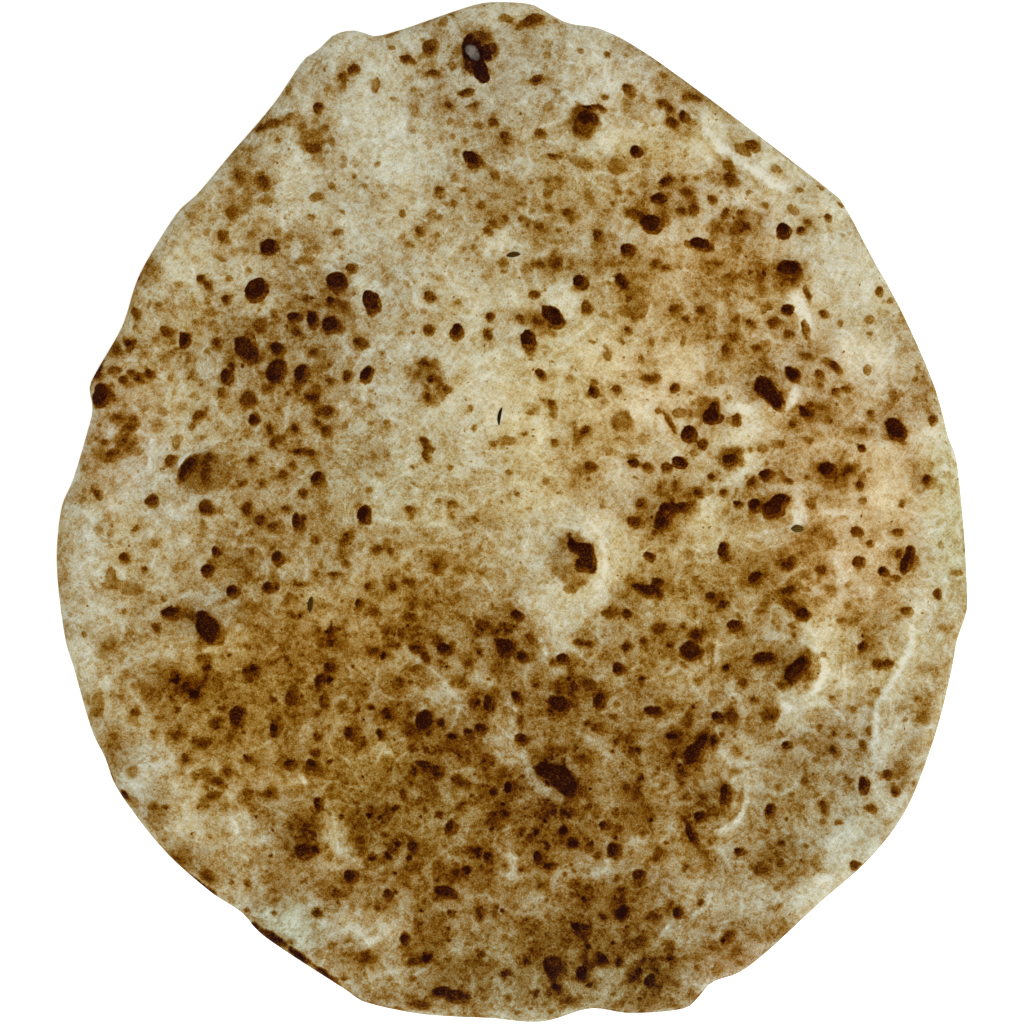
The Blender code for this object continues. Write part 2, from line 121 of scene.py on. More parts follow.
# ---------------------------------------------------------------------------------------
# Marks that the fire left, as they lie on the picture: middle x and y, length and width in
# its pixels, and turn in degrees. The charred ones are black, and the clouded ones are soft
# mottled clouds of browning, most of them round a charred mark.
# ---------------------------------------------------------------------------------------
CHARRED = (
    # far end
    (471, 159, 17, 14, -15), (586, 119, 17, 15, 0), (589, 107, 14, 6, 5), (635, 152, 10, 10, 0),
    (657, 198, 16, 9, 0), (651, 224, 22, 17, 0), (699, 245, 22, 11, -10), (626, 251, 13, 12, 0),
    (782, 231, 14, 13, 80), (269, 247, 18, 14, 20), (664, 182, 13, 7, 25), (683, 117, 9, 9, 0),
    # left
    (256, 290, 24, 19, 45), (247, 350, 28, 19, -60), (185, 340, 16, 10, 88),
    (101, 395, 24, 15, 70), (227, 376, 14, 11, 90), (253, 419, 12, 8, 90), (187, 468, 27, 12, 60),
    (129, 344, 10, 7, 60), (336, 281, 18, 16, 0), (371, 301, 21, 14, -65),
    (312, 320, 16, 10, -80), (331, 325, 17, 15, 30), (294, 317, 13, 9, 0),
    (278, 349, 13, 11, -70), (277, 371, 25, 15, 60), (301, 374, 20, 11, 75), (313, 399, 10, 7, 0),
    (366, 374, 17, 10, 50), (317, 477, 13, 10, 40), (364, 514, 17, 12, 90), (332, 302, 10, 8, 0),
    (297, 522, 16, 8, 90), (216, 551, 11, 8, 90), (278, 557, 12, 11, 90),
    # middle
    (456, 330, 13, 8, 75), (579, 282, 13, 13, 0), (620, 281, 15, 9, -55), (552, 317, 26, 15, -48),
    (527, 338, 17, 14, 85), (632, 462, 10, 6, 0), (592, 390, 11, 7, -60), (573, 546, 13, 9, -35),
    (583, 548, 16, 11, -20), (586, 558, 18, 13, -75), (568, 537, 9, 3, -75),
    # right
    (711, 416, 18, 14, 0), (712, 408, 12, 9, 70), (687, 433, 15, 13, 40), (728, 459, 14, 11, 0),
    (678, 462, 12, 10, 0), (764, 474, 13, 9, 30), (665, 508, 15, 9, 35), (659, 515, 14, 9, 70),
    (659, 523, 15, 11, 60), (679, 506, 15, 7, 10), (753, 505, 12, 10, 60), (736, 503, 8, 7, 0),
    (697, 493, 9, 7, -20), (787, 269, 22, 15, 0), (791, 373, 17, 11, -50),
    (763, 386, 20, 17, -20), (770, 394, 21, 15, -50), (776, 402, 16, 10, -60),
    (804, 412, 14, 8, -60), (894, 429, 23, 17, -45), (826, 469, 14, 13, 0), (821, 466, 12, 8, 30),
    (778, 500, 19, 12, 30), (770, 508, 20, 14, 25), (776, 508, 13, 11, 0), (786, 309, 13, 9, 20),
    (803, 326, 10, 5, -80), (859, 447, 8, 5, -30), (905, 558, 28, 8, 73), (648, 555, 11, 7, 0),
    (722, 549, 16, 10, 90),
    # near left
    (171, 612, 20, 12, 20), (211, 629, 28, 23, -45), (203, 615, 12, 10, 0), (234, 591, 13, 12, 0),
    (238, 716, 22, 15, 80), (207, 569, 11, 10, 0), (248, 757, 8, 7, 0), (269, 586, 11, 8, 0),
    (358, 602, 9, 7, 90), (320, 679, 16, 8, 75), (328, 665, 10, 8, 60), (350, 731, 12, 10, 90),
    (275, 728, 12, 10, 90), (380, 733, 10, 8, 90), (313, 763, 12, 9, 0), (330, 631, 8, 7, 0),
    (124, 793, 10, 6, -50), (291, 762, 12, 7, 20), (187, 685, 12, 7, 10), (193, 693, 11, 7, 75),
    # near middle
    (417, 647, 13, 7, 0), (444, 648, 15, 10, 0), (505, 647, 20, 17, 20), (498, 641, 10, 8, 0),
    (425, 719, 22, 19, 80), (488, 702, 17, 9, 85), (480, 728, 12, 10, 0), (425, 764, 17, 8, -10),
    (436, 770, 14, 9, 80), (580, 564, 13, 10, 0), (589, 567, 9, 8, 0), (516, 614, 13, 10, 0),
    (558, 701, 22, 14, 5), (560, 707, 14, 12, 0), (599, 700, 18, 9, 60), (562, 658, 11, 9, 0),
    (617, 667, 12, 10, 80), (516, 695, 11, 8, -50), (626, 612, 8, 6, 0), (521, 738, 12, 9, -20),
    (547, 769, 27, 15, -8), (560, 775, 26, 18, -32), (567, 785, 23, 20, -50),
    (569, 792, 15, 13, 0), (522, 656, 11, 9, 0), (468, 731, 9, 8, 0),
    # near right
    (881, 570, 9, 8, 0), (795, 668, 34, 14, 55), (800, 613, 14, 10, 0), (860, 645, 12, 6, 60),
    (641, 588, 18, 7, -12), (651, 590, 19, 12, 0), (655, 581, 9, 8, 0), (711, 595, 12, 9, 0),
    (755, 577, 15, 11, 20), (689, 651, 21, 14, 0), (690, 647, 10, 14, 0), (652, 710, 17, 10, 0),
    (763, 657, 24, 12, 8), (732, 625, 12, 10, 0), (716, 716, 12, 10, 0), (692, 753, 20, 17, 60),
    (700, 742, 22, 11, 55), (686, 761, 9, 7, 0), (723, 793, 21, 10, 85), (862, 783, 17, 9, 75),
    (785, 742, 8, 7, 0),
    # near end
    (318, 801, 12, 9, 90), (304, 849, 20, 12, 10), (351, 874, 15, 12, 90), (387, 893, 10, 9, 90),
    (413, 845, 13, 11, 90), (445, 890, 22, 12, 0), (450, 826, 18, 8, 70), (487, 856, 11, 8, 90),
    (555, 985, 12, 8, -60), (440, 989, 18, 10, 0), (455, 993, 24, 12, -8), (404, 937, 14, 7, 90),
    (451, 912, 8, 7, 0), (690, 831, 27, 8, -68), (699, 815, 13, 10, 0), (538, 856, 13, 10, 90),
    (613, 848, 13, 12, 0), (585, 926, 10, 8, 0), (737, 849, 9, 7, 0), (553, 965, 24, 20, 85),
    (582, 971, 15, 13, 80), (650, 978, 15, 12, 90), (677, 911, 12, 8, 60), (638, 874, 14, 11, 60),
    (530, 835, 8, 7, 0), (604, 824, 9, 8, 0), (768, 808, 12, 8, 90), (505, 970, 9, 5, 0),
    (193, 879, 40, 4, -38), (255, 925, 12, 7, -35), (272, 936, 32, 7, -32),
    (299, 954, 26, 7, -36), (325, 973, 32, 5, -38), (208, 889, 10, 5, -40),
)
BURNT = (
    # far end
    (478, 38, 20, 12, -10), (491, 50, 16, 10, 30), (471, 66, 12, 20, 0), (430, 48, 18, 13, 50),
    (407, 60, 15, 7, -12), (433, 75, 12, 6, 0), (353, 71, 10, 8, 30), (343, 78, 8, 6, 0),
    (318, 110, 12, 7, 85), (272, 124, 15, 7, 5), (313, 148, 16, 9, -20), (439, 191, 9, 8, 0),
    (505, 137, 10, 9, 0), (493, 123, 9, 6, 80), (466, 93, 16, 5, 8), (472, 106, 13, 4, 15),
    (492, 224, 9, 7, 30), (487, 231, 8, 6, 0), (420, 231, 8, 7, 0), (537, 80, 15, 8, 15),
    (530, 22, 28, 10, 18), (600, 110, 12, 5, -28), (583, 126, 23, 20, 0), (627, 92, 13, 8, -45),
    (539, 133, 8, 8, 0), (553, 157, 12, 4, -10), (671, 124, 13, 7, -40), (663, 105, 13, 7, -20),
    (669, 110, 7, 6, 0), (695, 98, 16, 5, -5), (686, 194, 12, 8, -35), (693, 210, 12, 8, 90),
    (680, 211, 12, 8, 0), (710, 199, 9, 6, -30), (729, 180, 15, 11, -45), (732, 231, 10, 9, 60),
    (743, 227, 9, 8, 0), (724, 214, 11, 7, 30), (740, 213, 9, 5, -20), (750, 145, 13, 10, 0),
    (636, 215, 24, 9, -18), (598, 237, 12, 8, 88), (538, 227, 9, 7, 0), (566, 213, 13, 7, -15),
    (799, 231, 8, 6, 0), (806, 222, 8, 5, 0), (241, 177, 10, 8, 90), (233, 213, 14, 9, 80),
    (223, 235, 11, 9, 90), (264, 182, 12, 10, 90), (262, 128, 10, 6, 20), (449, 107, 10, 7, -40),
    (826, 219, 6, 6, 0),
    # left
    (202, 278, 7, 7, 0), (209, 287, 11, 6, -80), (227, 299, 9, 8, 0), (137, 313, 9, 7, 80),
    (167, 332, 12, 8, -30), (217, 343, 7, 7, 0), (231, 365, 9, 7, 40), (222, 393, 10, 8, 90),
    (115, 369, 12, 6, 10), (124, 380, 9, 8, 0), (132, 373, 8, 6, 0), (140, 378, 9, 8, 0),
    (149, 374, 9, 8, 90), (97, 376, 13, 7, 48), (107, 391, 12, 9, 50), (249, 399, 17, 15, 50),
    (118, 418, 12, 8, 0), (133, 423, 15, 10, 50), (199, 416, 15, 10, 50), (105, 441, 6, 6, 0),
    (123, 443, 12, 6, 35), (115, 453, 15, 8, 35), (171, 461, 13, 8, 60), (100, 494, 8, 6, -60),
    (252, 461, 9, 8, 0), (117, 351, 9, 7, 45), (243, 483, 6, 5, 0), (338, 291, 9, 8, 90),
    (351, 268, 9, 7, 10), (342, 306, 12, 9, 90), (306, 299, 9, 8, 0), (296, 331, 14, 8, -60),
    (261, 326, 14, 11, 60), (313, 353, 10, 6, 0), (361, 343, 14, 10, 0), (299, 383, 16, 8, 75),
    (266, 388, 10, 8, 0), (288, 394, 7, 4, 20), (347, 376, 11, 8, 80), (332, 381, 8, 7, 0),
    (320, 411, 8, 7, 0), (326, 410, 13, 12, 20), (371, 310, 13, 10, -60), (318, 424, 7, 6, 0),
    (327, 432, 13, 12, 60), (270, 429, 8, 6, 80), (276, 440, 14, 7, 40), (282, 438, 10, 6, 50),
    (295, 429, 8, 8, 0), (298, 452, 11, 6, -10), (311, 453, 9, 7, 0), (292, 465, 8, 8, 0),
    (283, 474, 9, 6, 30), (303, 493, 9, 8, 0), (286, 508, 8, 7, 0), (253, 551, 12, 6, 90),
    (125, 557, 9, 7, 0), (345, 540, 17, 8, 65), (378, 548, 9, 7, 0), (390, 552, 7, 6, 90),
    (207, 475, 22, 10, 85), (152, 500, 12, 11, 60), (207, 507, 15, 13, 0), (248, 510, 14, 9, 80),
    (260, 520, 12, 11, 70), (274, 527, 10, 9, 60), (312, 396, 14, 10, 0),
    # middle
    (429, 296, 9, 8, 50), (428, 330, 10, 9, 90), (487, 334, 10, 9, 90), (490, 317, 7, 6, 0),
    (422, 364, 10, 7, 20), (434, 378, 9, 8, -30), (446, 389, 8, 7, 40), (418, 374, 9, 7, -20),
    (428, 398, 10, 8, -40), (423, 441, 9, 7, -50), (428, 447, 9, 7, 0), (425, 456, 10, 7, -40),
    (456, 332, 14, 11, 75), (410, 509, 10, 7, -20), (451, 503, 9, 6, -15), (541, 265, 8, 5, -30),
    (558, 264, 12, 7, 88), (533, 295, 11, 7, 0), (520, 318, 9, 7, 0), (537, 322, 12, 6, -45),
    (528, 345, 13, 12, 0), (586, 308, 14, 9, 80), (627, 329, 7, 7, 0), (539, 373, 10, 8, -30),
    (615, 389, 8, 7, 0), (551, 405, 9, 6, -50), (590, 465, 13, 8, -20), (585, 430, 9, 7, 20),
    (554, 442, 7, 5, 0), (592, 382, 7, 5, 0), (634, 522, 14, 9, 0),
    # right
    (654, 265, 9, 7, 40), (665, 268, 12, 5, 10), (673, 310, 11, 9, 30), (684, 319, 8, 6, 0),
    (701, 310, 8, 7, 0), (759, 279, 10, 8, 0), (749, 323, 9, 7, -60), (726, 349, 12, 9, -80),
    (755, 348, 12, 5, 0), (766, 366, 18, 3, -45), (649, 379, 13, 7, 0), (674, 388, 9, 7, 0),
    (735, 420, 11, 8, 80), (701, 443, 10, 9, 0), (666, 467, 10, 8, 0), (646, 467, 9, 8, -40),
    (710, 476, 8, 7, 0), (751, 482, 14, 6, 60), (722, 492, 8, 5, 0), (660, 488, 13, 5, 85),
    (673, 488, 16, 6, 88), (640, 503, 9, 8, 0), (668, 420, 24, 3, -62), (690, 504, 9, 8, 0),
    (717, 265, 10, 5, 0), (787, 276, 28, 14, 0), (806, 293, 17, 4, -75), (772, 323, 13, 8, 0),
    (788, 334, 8, 6, 0), (804, 330, 19, 6, -80), (822, 313, 9, 6, -50), (877, 291, 9, 6, 90),
    (805, 357, 11, 8, 20), (835, 367, 13, 7, -45), (818, 374, 8, 7, 0), (834, 392, 7, 7, 0),
    (843, 389, 8, 6, 0), (821, 408, 10, 6, 0), (810, 405, 8, 7, 0), (791, 424, 9, 6, 10),
    (869, 414, 8, 6, 90), (930, 419, 9, 7, 90), (862, 431, 7, 6, 0), (848, 469, 9, 7, 60),
    (806, 477, 6, 5, 0), (786, 480, 9, 6, 0), (858, 484, 9, 6, 70), (924, 480, 10, 8, 0),
    (855, 531, 10, 8, 0), (868, 542, 7, 6, 0), (895, 531, 8, 6, 0), (897, 554, 9, 7, 90),
    (812, 532, 20, 4, 55),
    # near left
    (193, 615, 12, 9, 0), (157, 626, 8, 7, 0), (203, 656, 12, 7, 0), (208, 668, 11, 7, 90),
    (187, 681, 20, 6, 0), (196, 694, 20, 6, -85), (135, 712, 9, 7, 90), (145, 568, 6, 5, 90),
    (250, 575, 12, 7, 90), (205, 741, 20, 10, 10), (231, 736, 12, 7, 80), (178, 735, 11, 9, 0),
    (186, 758, 9, 7, 90), (215, 723, 11, 9, 0), (252, 676, 12, 9, 90), (335, 573, 13, 7, 0),
    (300, 584, 14, 5, 0), (369, 585, 8, 6, 0), (392, 586, 8, 8, 0), (374, 612, 11, 7, 0),
    (386, 632, 8, 6, 90), (392, 643, 13, 8, 0), (374, 651, 13, 8, 0), (399, 681, 12, 8, 0),
    (392, 710, 11, 8, 0), (325, 700, 15, 8, 90), (293, 695, 26, 14, 80), (364, 742, 9, 8, 0),
    (213, 795, 13, 8, 0), (248, 792, 11, 8, 0), (345, 563, 7, 6, 0), (319, 772, 15, 9, 0),
    (268, 793, 13, 8, 10), (241, 561, 6, 5, 0), (218, 781, 14, 10, 10),
    # near middle
    (408, 581, 11, 7, 0), (407, 618, 8, 8, 0), (427, 605, 9, 7, 90), (401, 634, 11, 8, 90),
    (426, 657, 9, 10, 0), (474, 632, 10, 6, 0), (508, 626, 12, 8, 0), (471, 657, 12, 6, 85),
    (415, 669, 12, 6, 0), (411, 730, 16, 12, 90), (473, 703, 12, 9, 90), (440, 747, 10, 8, 0),
    (455, 740, 18, 14, 0), (486, 765, 10, 8, 90), (495, 666, 9, 8, 0), (412, 605, 9, 6, 90),
    (610, 613, 20, 8, 0), (530, 638, 12, 8, -75), (553, 662, 8, 7, 0), (578, 642, 10, 7, 0),
    (588, 643, 8, 7, 0), (626, 647, 11, 8, 90), (571, 674, 15, 8, 90), (561, 686, 11, 10, 0),
    (590, 684, 19, 10, -20), (614, 716, 9, 6, 0), (597, 727, 12, 10, 0), (521, 719, 12, 8, 80),
    (630, 738, 13, 9, 90), (561, 752, 8, 7, 0), (549, 754, 6, 5, 0), (585, 759, 13, 9, 0),
    (436, 772, 10, 9, 90), (404, 792, 13, 7, 90), (502, 772, 12, 8, 80), (513, 786, 13, 10, -50),
    (468, 787, 8, 7, 0), (582, 787, 10, 7, 0), (627, 787, 10, 8, 0), (638, 792, 8, 7, 0),
    (485, 626, 18, 12, -20), (449, 746, 20, 9, -15), (433, 791, 13, 9, 75), (631, 751, 9, 8, 80),
    (414, 646, 11, 10, 80),
    # near right
    (820, 568, 12, 9, 0), (857, 562, 13, 10, 90), (790, 605, 14, 10, 0), (788, 590, 16, 8, 0),
    (876, 663, 11, 10, 0), (886, 662, 10, 7, 0), (905, 611, 10, 9, 0), (893, 577, 12, 5, 0),
    (772, 712, 14, 9, 90), (832, 750, 9, 7, 0), (861, 742, 9, 6, 90), (935, 593, 9, 7, 90),
    (718, 608, 8, 6, 0), (660, 628, 14, 12, 0), (643, 640, 8, 7, 0), (688, 717, 17, 8, 90),
    (731, 716, 21, 9, -75), (741, 682, 9, 7, 90), (767, 713, 10, 8, 90), (676, 737, 18, 13, 90),
    (712, 742, 9, 7, 0), (705, 630, 10, 5, 90), (700, 738, 18, 12, 60), (680, 772, 16, 11, 50),
    (679, 774, 14, 10, 50), (704, 796, 10, 8, 0), (804, 779, 8, 8, 0), (893, 790, 10, 8, 90),
    (886, 772, 12, 9, 0),
    # near end
    (208, 875, 14, 8, -20), (338, 893, 18, 9, 0), (318, 912, 10, 7, 0), (363, 848, 12, 9, 90),
    (392, 848, 10, 10, 0), (459, 806, 10, 7, 90), (418, 800, 9, 6, 0), (480, 868, 7, 6, 0),
    (488, 870, 7, 6, 0), (475, 850, 10, 8, 0), (435, 865, 12, 9, 90), (457, 873, 11, 6, 90),
    (412, 866, 15, 9, 0), (378, 906, 9, 7, 0), (479, 912, 8, 7, 0), (419, 959, 8, 7, 0),
    (478, 960, 12, 7, 0), (366, 955, 12, 9, 90), (420, 1002, 18, 9, -10), (500, 805, 10, 8, 0),
    (495, 820, 13, 10, 0), (550, 805, 12, 8, 0), (567, 812, 13, 6, 0), (563, 838, 12, 8, 90),
    (597, 855, 8, 7, 90), (657, 852, 13, 11, 90), (586, 892, 9, 8, 0), (541, 884, 9, 8, 0),
    (615, 905, 16, 9, 90), (655, 918, 13, 11, 90), (640, 938, 17, 10, 0), (700, 901, 8, 7, 0),
    (728, 936, 14, 12, 90), (761, 868, 18, 13, 40), (669, 957, 13, 8, 90), (632, 976, 10, 8, 0),
    (570, 1000, 11, 7, 0), (535, 955, 12, 7, 0), (537, 925, 8, 6, 0), (823, 808, 10, 8, 90),
    (868, 806, 10, 8, 0), (853, 864, 9, 8, 0),
)
BROWNED = (
    # far end
    (424, 56, 14, 7, 50), (419, 73, 10, 5, 0), (443, 23, 15, 9, 40), (392, 48, 9, 6, 0),
    (289, 119, 14, 8, 20), (311, 138, 20, 16, 0), (325, 132, 14, 13, 0), (319, 160, 14, 8, 0),
    (333, 145, 9, 7, 90), (279, 142, 8, 6, 0), (318, 198, 16, 10, 0), (264, 200, 14, 11, 30),
    (313, 251, 22, 10, 5), (446, 204, 11, 7, -20), (453, 138, 6, 6, 0), (464, 142, 7, 6, 0),
    (479, 164, 16, 11, -35), (456, 153, 9, 8, 0), (510, 185, 9, 8, 0), (441, 88, 9, 6, 0),
    (413, 91, 6, 5, 0), (438, 107, 9, 6, 0), (394, 100, 8, 6, 0), (379, 165, 8, 6, 0),
    (344, 160, 8, 7, 0), (366, 187, 7, 7, 0), (333, 187, 12, 6, -30), (343, 212, 8, 6, 0),
    (311, 218, 8, 8, 0), (403, 215, 8, 7, 90), (338, 233, 13, 7, 0), (278, 232, 9, 8, 60),
    (408, 245, 12, 6, -10), (474, 250, 9, 7, 0), (491, 212, 9, 6, 20), (496, 196, 9, 8, 0),
    (343, 88, 8, 8, 0), (327, 92, 6, 6, 0), (289, 90, 11, 8, 80), (581, 53, 8, 7, 0),
    (607, 57, 9, 7, -60), (556, 92, 8, 7, 0), (549, 108, 13, 9, 60), (604, 99, 9, 6, -35),
    (556, 22, 9, 5, -30), (545, 145, 6, 6, 0), (582, 165, 26, 12, -25), (553, 184, 20, 14, 0),
    (617, 168, 20, 15, 0), (614, 184, 11, 7, -50), (645, 167, 10, 6, 0), (692, 206, 30, 8, -75),
    (728, 168, 14, 10, -40), (749, 193, 9, 5, 0), (742, 151, 20, 12, -30), (675, 84, 8, 6, 0),
    (664, 77, 12, 7, -40), (692, 123, 9, 7, -30), (641, 208, 12, 5, -40), (688, 246, 12, 9, 0),
    (598, 246, 12, 8, 90), (610, 237, 6, 5, 0), (588, 200, 13, 8, -50), (607, 212, 10, 7, 40),
    (579, 218, 11, 6, 0), (522, 205, 10, 6, 10), (545, 210, 8, 5, 0), (524, 220, 8, 8, 0),
    (569, 241, 8, 5, 0), (548, 243, 9, 6, -30), (664, 214, 8, 6, 0), (688, 232, 6, 6, 0),
    (714, 233, 8, 8, 0), (715, 240, 7, 5, 0), (758, 217, 7, 5, 0), (764, 207, 8, 7, 0),
    (793, 211, 15, 10, -50), (822, 187, 10, 6, -50), (840, 205, 9, 6, -50), (800, 192, 8, 6, 0),
    (843, 237, 7, 5, 0), (776, 170, 12, 8, -20), (250, 151, 6, 6, 0), (249, 200, 8, 6, 0),
    (193, 217, 12, 9, 0), (253, 235, 10, 8, 90), (506, 21, 16, 9, 0), (376, 87, 14, 9, 75),
    # left
    (205, 473, 48, 36, 0), (150, 272, 18, 12, -80), (222, 260, 8, 5, -30), (230, 279, 9, 7, 0),
    (150, 306, 9, 5, 80), (160, 306, 8, 7, 60), (138, 329, 8, 7, 0), (158, 341, 10, 7, 0),
    (215, 328, 14, 10, 0), (212, 313, 18, 9, 0), (200, 322, 14, 9, 0), (171, 356, 12, 8, 20),
    (146, 354, 9, 7, 0), (193, 359, 12, 11, 0), (172, 378, 12, 6, 80), (175, 393, 8, 4, 80),
    (194, 376, 12, 10, 90), (229, 411, 9, 6, 0), (164, 412, 13, 9, -20), (207, 409, 8, 5, 50),
    (193, 427, 10, 7, 40), (101, 455, 16, 11, 0), (87, 469, 11, 7, 20), (137, 452, 15, 9, 0),
    (177, 442, 14, 8, 80), (164, 468, 6, 4, 0), (204, 438, 8, 6, 0), (232, 440, 10, 5, 20),
    (231, 458, 9, 8, 0), (220, 473, 20, 18, 90), (84, 501, 7, 6, 0), (222, 510, 10, 8, 80),
    (235, 488, 8, 4, 0), (237, 476, 5, 4, 0), (146, 409, 10, 7, 60), (296, 268, 7, 5, 0),
    (306, 261, 22, 9, 0), (276, 268, 6, 4, 0), (350, 274, 8, 5, 90), (323, 283, 8, 5, 0),
    (287, 286, 7, 5, 0), (324, 294, 8, 8, 0), (297, 306, 20, 10, 0), (301, 348, 6, 5, -60),
    (275, 316, 16, 9, 85), (273, 333, 7, 5, 0), (353, 295, 6, 6, 0), (369, 325, 6, 4, 90),
    (322, 362, 8, 7, 0), (334, 363, 5, 4, 0), (309, 373, 14, 10, 90), (313, 392, 13, 10, 0),
    (278, 408, 8, 6, 90), (387, 425, 9, 7, -60), (306, 436, 7, 5, 0), (320, 454, 6, 6, 0),
    (336, 464, 6, 5, 90), (275, 479, 9, 6, 20), (267, 483, 7, 5, 0), (323, 484, 12, 10, 80),
    (298, 504, 5, 4, 0), (388, 454, 8, 8, 0), (375, 457, 7, 6, 0), (378, 475, 6, 5, 0),
    (369, 490, 8, 8, 0), (323, 508, 8, 8, 0), (372, 407, 7, 7, 0), (357, 401, 6, 6, 0),
    (203, 525, 11, 6, 90), (140, 528, 9, 6, 0), (112, 546, 6, 5, 0), (286, 558, 14, 10, 0),
    (262, 541, 12, 5, 0), (293, 547, 5, 5, 0), (323, 540, 5, 5, 0), (315, 553, 8, 4, 90),
    (96, 487, 13, 8, 80), (240, 541, 12, 7, 80), (346, 375, 9, 9, 0),
    # middle
    (414, 333, 5, 4, 0), (402, 333, 5, 5, 0), (458, 302, 8, 5, 10), (471, 408, 9, 6, 90),
    (474, 428, 8, 6, 90), (492, 443, 8, 7, 0), (483, 453, 6, 4, 0), (506, 441, 22, 10, 0),
    (413, 466, 6, 5, 0), (450, 468, 8, 7, 0), (473, 473, 6, 4, 0), (508, 473, 8, 8, 0),
    (438, 502, 7, 6, 0), (416, 484, 13, 3, -20), (571, 264, 7, 5, -40), (551, 276, 10, 6, 0),
    (574, 289, 9, 6, 30), (597, 267, 12, 8, -70), (612, 264, 9, 8, 0), (633, 280, 7, 6, 0),
    (545, 291, 6, 5, 0), (553, 328, 11, 6, 0), (532, 359, 8, 6, 0), (551, 363, 6, 5, 90),
    (634, 296, 12, 10, 60), (629, 311, 10, 8, 60), (592, 342, 9, 5, 10), (605, 347, 6, 5, 0),
    (608, 356, 15, 8, 80), (622, 342, 8, 5, -60), (544, 379, 9, 6, -45), (625, 377, 5, 5, 0),
    (542, 402, 7, 5, 0), (554, 415, 9, 8, 0), (563, 408, 5, 5, 0), (603, 404, 6, 6, 0),
    (530, 413, 8, 6, -30), (575, 429, 10, 8, 80), (523, 434, 8, 5, 0), (619, 438, 7, 5, 0),
    (622, 423, 22, 20, 0), (608, 451, 10, 9, 0), (632, 456, 12, 7, 0), (635, 477, 6, 4, 0),
    (585, 471, 14, 9, 30), (603, 507, 7, 5, 0), (530, 508, 7, 5, 0), (517, 493, 8, 6, 0),
    (569, 488, 6, 4, 0), (559, 494, 6, 5, 0), (545, 481, 8, 8, 0), (638, 310, 18, 22, 0),
    # right
    (644, 278, 8, 8, 0), (680, 268, 8, 5, 0), (715, 295, 7, 6, 0), (745, 286, 8, 5, 0),
    (745, 279, 8, 6, 0), (759, 266, 12, 9, -20), (729, 304, 9, 7, 0), (730, 291, 9, 7, 0),
    (744, 296, 6, 6, 0), (652, 343, 8, 8, 0), (664, 339, 6, 5, 0), (640, 359, 9, 5, -70),
    (683, 341, 12, 7, 85), (727, 339, 20, 10, 0), (728, 357, 9, 8, 0), (650, 379, 21, 11, 0),
    (689, 393, 5, 5, 0), (727, 398, 5, 5, 0), (707, 378, 11, 6, 85), (721, 381, 9, 6, -80),
    (657, 411, 10, 7, 20), (679, 413, 16, 10, 0), (704, 410, 22, 16, 30), (729, 421, 10, 8, 0),
    (730, 458, 28, 20, 0), (692, 453, 10, 8, 0), (717, 474, 5, 5, 0), (749, 450, 8, 6, 90),
    (762, 449, 14, 10, 0), (737, 491, 6, 6, 0), (697, 492, 15, 12, 0), (707, 266, 9, 7, 0),
    (728, 281, 24, 14, 20), (840, 323, 7, 7, 0), (890, 301, 8, 6, 60), (869, 320, 12, 9, 0),
    (868, 334, 8, 5, 0), (826, 361, 12, 8, -30), (866, 371, 11, 9, 80), (917, 369, 10, 7, 90),
    (924, 381, 6, 6, 0), (892, 396, 16, 11, -60), (796, 408, 10, 6, 20), (885, 409, 8, 6, 90),
    (925, 409, 10, 8, 90), (901, 441, 14, 7, -30), (850, 431, 6, 6, 0), (815, 469, 12, 9, 0),
    (843, 484, 9, 7, 0), (925, 489, 8, 5, 0), (901, 504, 10, 7, 80), (861, 501, 9, 8, 0),
    (811, 503, 14, 11, 90), (776, 444, 18, 10, 0), (808, 441, 12, 8, 0), (840, 481, 20, 12, 0),
    (797, 541, 12, 6, 30), (822, 537, 8, 6, 90), (940, 545, 10, 6, 90),
    # near left
    (86, 634, 7, 7, 0), (111, 645, 17, 13, 0), (98, 705, 26, 15, 85), (122, 697, 8, 8, 0),
    (213, 567, 16, 12, 30), (250, 616, 30, 14, 90), (112, 575, 17, 11, 90), (133, 590, 24, 13, 0),
    (203, 744, 26, 14, 10), (254, 698, 10, 6, 90), (147, 635, 8, 7, 0), (147, 698, 8, 8, 0),
    (178, 566, 7, 6, 90), (323, 561, 10, 3, 80), (284, 583, 8, 7, 90), (298, 610, 9, 7, 0),
    (397, 574, 8, 5, 0), (328, 610, 5, 5, 0), (320, 630, 8, 6, 90), (379, 715, 10, 6, 90),
    (343, 748, 7, 7, 0), (272, 690, 12, 6, 90), (312, 745, 12, 10, 0), (263, 755, 8, 6, 90),
    (356, 797, 7, 6, 0), (115, 585, 28, 12, 0), (247, 575, 10, 6, 80), (291, 603, 17, 14, 0),
    (251, 608, 20, 13, 0),
    # near middle
    (424, 687, 6, 6, 0), (402, 750, 10, 6, 90), (570, 590, 14, 8, 0), (410, 781, 6, 5, 90),
    (457, 780, 7, 6, 90), (513, 787, 8, 7, 0),
    # near right
    (803, 578, 8, 5, 0), (828, 587, 14, 6, 0), (955, 573, 13, 8, 0), (777, 628, 8, 7, 0),
    (794, 634, 6, 6, 0), (840, 620, 13, 7, 0), (855, 615, 10, 6, 0), (875, 690, 8, 7, 0),
    (853, 710, 8, 7, 0), (832, 697, 7, 6, 0), (868, 730, 11, 5, 90), (900, 765, 12, 9, 0),
    (920, 718, 8, 7, 0), (903, 718, 9, 7, 0), (822, 655, 9, 7, 0), (835, 681, 5, 5, 0),
    (648, 660, 9, 8, 0), (672, 640, 8, 7, 0), (757, 700, 7, 6, 0), (748, 757, 7, 6, 0),
    (690, 794, 9, 6, 0), (779, 787, 8, 7, 0), (803, 797, 8, 5, 0),
    # near end
    (135, 800, 14, 9, -40), (428, 818, 8, 8, 0), (436, 919, 8, 6, 90), (420, 923, 8, 7, 90),
